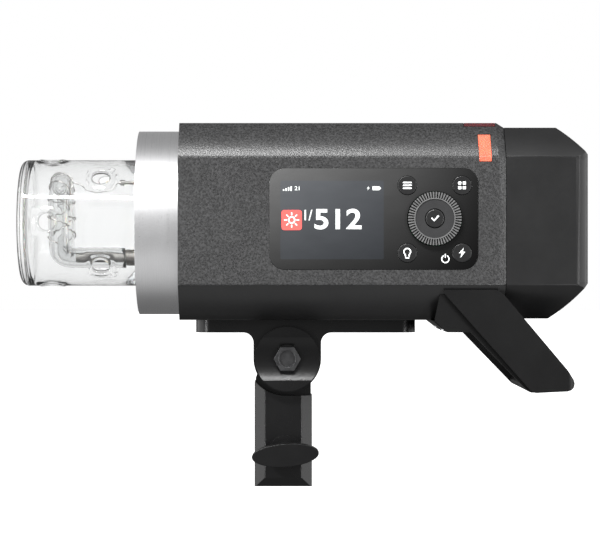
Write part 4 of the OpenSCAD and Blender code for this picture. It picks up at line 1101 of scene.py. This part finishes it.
def area_lamp(name, place, target, size, power):
    """Soft lamp that stays out of the picture and isn't seen through the glass."""
    data = bpy.data.lights.new(name, "AREA")
    data.shape = "RECTANGLE"
    data.size, data.size_y = size
    data.energy = power
    lamp = bpy.data.objects.new(name, data)
    lamp.location = place
    lamp.rotation_euler = (Vector(target) - Vector(place)).to_track_quat("-Z", "Y").to_euler()
    lamp.visible_camera = False
    lamp.visible_transmission = False
    bpy.context.scene.collection.objects.link(lamp)


def floor(centre):
    """Large pale round floor below the raised head."""
    mesh = bmesh.new()
    drop, steps = 0.6, 96
    turns = [2 * math.pi * k / steps for k in range(steps)]
    rings = []
    for radius in (1.0, 4.0, 12.0, 40.0):
        spots = [(centre.x + radius * math.cos(t), radius * math.sin(t), -drop) for t in turns]
        rings.append([mesh.verts.new(spot) for spot in spots])
    mesh.faces.new(rings[0])
    for first, second in zip(rings, rings[1:]):
        bridge(mesh, first, second)
    data = bpy.data.meshes.new("studio_floor")
    mesh.to_mesh(data)
    mesh.free()
    s = Shader("pale_floor", Roughness=0.8)
    tone = s.blend(s.noise(0.4, 4), (0.83, 0.83, 0.83), (0.86, 0.86, 0.86))
    s.surface(Base_Color=tone, Emission_Color=tone, Emission_Strength=1.2)
    s.bump(s.noise(2 * MM, 3), 0.05 * MM)
    data.materials.append(s.mat)
    piece = bpy.data.objects.new("studio_floor", data)
    bpy.context.scene.collection.objects.link(piece)
    piece.visible_glossy = False
    piece.visible_diffuse = False
    piece.visible_transmission = False


# Brightness round the X axis, in degrees: 0 is the camera's side and 90 overhead
SURROUND = [(-180, 0.15), (-130, 0.16), (-105, 0.2), (-72, 0.6), (-45, 0.68), (-28, 0.40),
            (-8, 0.34), (4, 0.42), (14, 0.56), (24, 0.85), (38, 1.0), (72, 1.1), (86, 0.55), (105, 0.3),
            (180, 0.28)]
# Brightness through glass, by how nearly a ray leaves along Y
BACKDROP = [(0.0, 0.5), (0.6, 0.62), (0.9, 0.9), (1.0, 1.0)]
# Brightness of the two side boxes in reflections, and how far round they start
SIDE_BOX = 2.7
SIDE_START = 0.8


def grey_ramp(tree, value, stops):
    """Colour ramp through pairs of place and grey level."""
    ramp = tree.nodes.new("ShaderNodeValToRGB")
    steps = ramp.color_ramp.elements
    steps[0].position, steps[1].position = stops[0][0], stops[-1][0]
    for place, grey in stops[1:-1]:
        steps.new(place)
    for step, (place, grey) in zip(steps, stops):
        step.color = (grey, grey, grey, 1)
    tree.links.new(value, ramp.inputs["Fac"])
    return ramp.outputs["Color"]


def maths(tree, operation, a, b=0.0):
    """Math node of a tree; returns its output."""
    new = tree.nodes.new("ShaderNodeMath")
    new.operation = operation
    for socket, value in zip(new.inputs, (a, b)):
        if isinstance(value, float):
            socket.default_value = value
        else:
            tree.links.new(value, socket)
    return new.outputs[0]


def light_bands(tree, direction):
    """Brightness by the angle round the X axis."""
    front = maths(tree, "MULTIPLY", direction.outputs["Y"], -1.0)
    turn = maths(tree, "ARCTAN2", direction.outputs["Z"], front)
    share = maths(tree, "ADD", maths(tree, "DIVIDE", turn, 2 * math.pi), 0.5)
    return grey_ramp(tree, share, [(angle / 360 + 0.5, grey) for angle, grey in SURROUND])


def lay_over(tree, base, share, colour):
    """Colour laid over a base by its share."""
    mix = tree.nodes.new("ShaderNodeMix")
    mix.data_type = "RGBA"
    tree.links.new(share, mix.inputs["Factor"])
    tree.links.new(base, mix.inputs["A"])
    if isinstance(colour, tuple):
        mix.inputs["B"].default_value = colour
    else:
        tree.links.new(colour, mix.inputs["B"])
    return mix.outputs["Result"]


def studio_world():
    """White to the camera; banded soft boxes for reflections, fill and glass."""
    world = bpy.data.worlds.new("studio")
    bpy.context.scene.world = world
    world.use_nodes = True
    tree = world.node_tree
    tree.nodes.clear()
    direction = tree.nodes.new("ShaderNodeSeparateXYZ")
    tree.links.new(tree.nodes.new("ShaderNodeTexCoord").outputs["Generated"], direction.inputs[0])
    path = tree.nodes.new("ShaderNodeLightPath")
    around = light_bands(tree, direction)
    behind = grey_ramp(tree, maths(tree, "ABSOLUTE", direction.outputs["Y"]), BACKDROP)
    beside = maths(tree, "GREATER_THAN", maths(tree, "ABSOLUTE", direction.outputs["X"]), SIDE_START)
    boxes = maths(tree, "MULTIPLY", beside, path.outputs["Is Glossy Ray"])
    shown = lay_over(tree, around, boxes, (SIDE_BOX,) * 3 + (1,))
    shown = lay_over(tree, shown, path.outputs["Is Transmission Ray"], behind)
    shown = lay_over(tree, shown, path.outputs["Is Camera Ray"], (1, 1, 1, 1))
    backdrop = tree.nodes.new("ShaderNodeBackground")
    tree.links.new(shown, backdrop.inputs["Color"])
    tree.links.new(backdrop.outputs[0], tree.nodes.new("ShaderNodeOutputWorld").inputs["Surface"])


def camera(centre):
    """Level camera in front of the control side."""
    distance = 1.4
    view_width = 0.327
    data = bpy.data.cameras.new("camera")
    data.sensor_width = 36.0
    data.lens = data.sensor_width * distance / view_width
    data.clip_end = 100.0
    eye = bpy.data.objects.new("camera", data)
    eye.location = (centre.x, -distance, centre.z + 16.3 * MM)
    eye.rotation_euler = (math.radians(90), 0, 0)
    bpy.context.scene.collection.objects.link(eye)
    bpy.context.scene.camera = eye


def studio():
    """Floor, surroundings, three strip lamps and the camera."""
    centre = (cad_low + cad_high) / 2
    target = (centre.x, 0, centre.z + 0.03)
    floor(centre)
    studio_world()
    area_lamp("key_strip", (centre.x - 0.45, -0.95, 1.1), target, (0.9, 0.14), 44)
    area_lamp("left_strip", (centre.x - 1.15, -1.64, -0.05), target, (0.12, 1.2), 18)
    area_lamp("right_strip", (centre.x + 1.15, -1.6, 0.0), target, (0.16, 1.2), 15)
    camera(centre)
    bpy.context.scene.view_settings.view_transform = "Standard"


# ---------------------------------------------------------------- build

dress_nodes()
cover_glass()
flash_tube()
ignition_wire()
button_icons()
panel_marks()
studio()
round_edges()
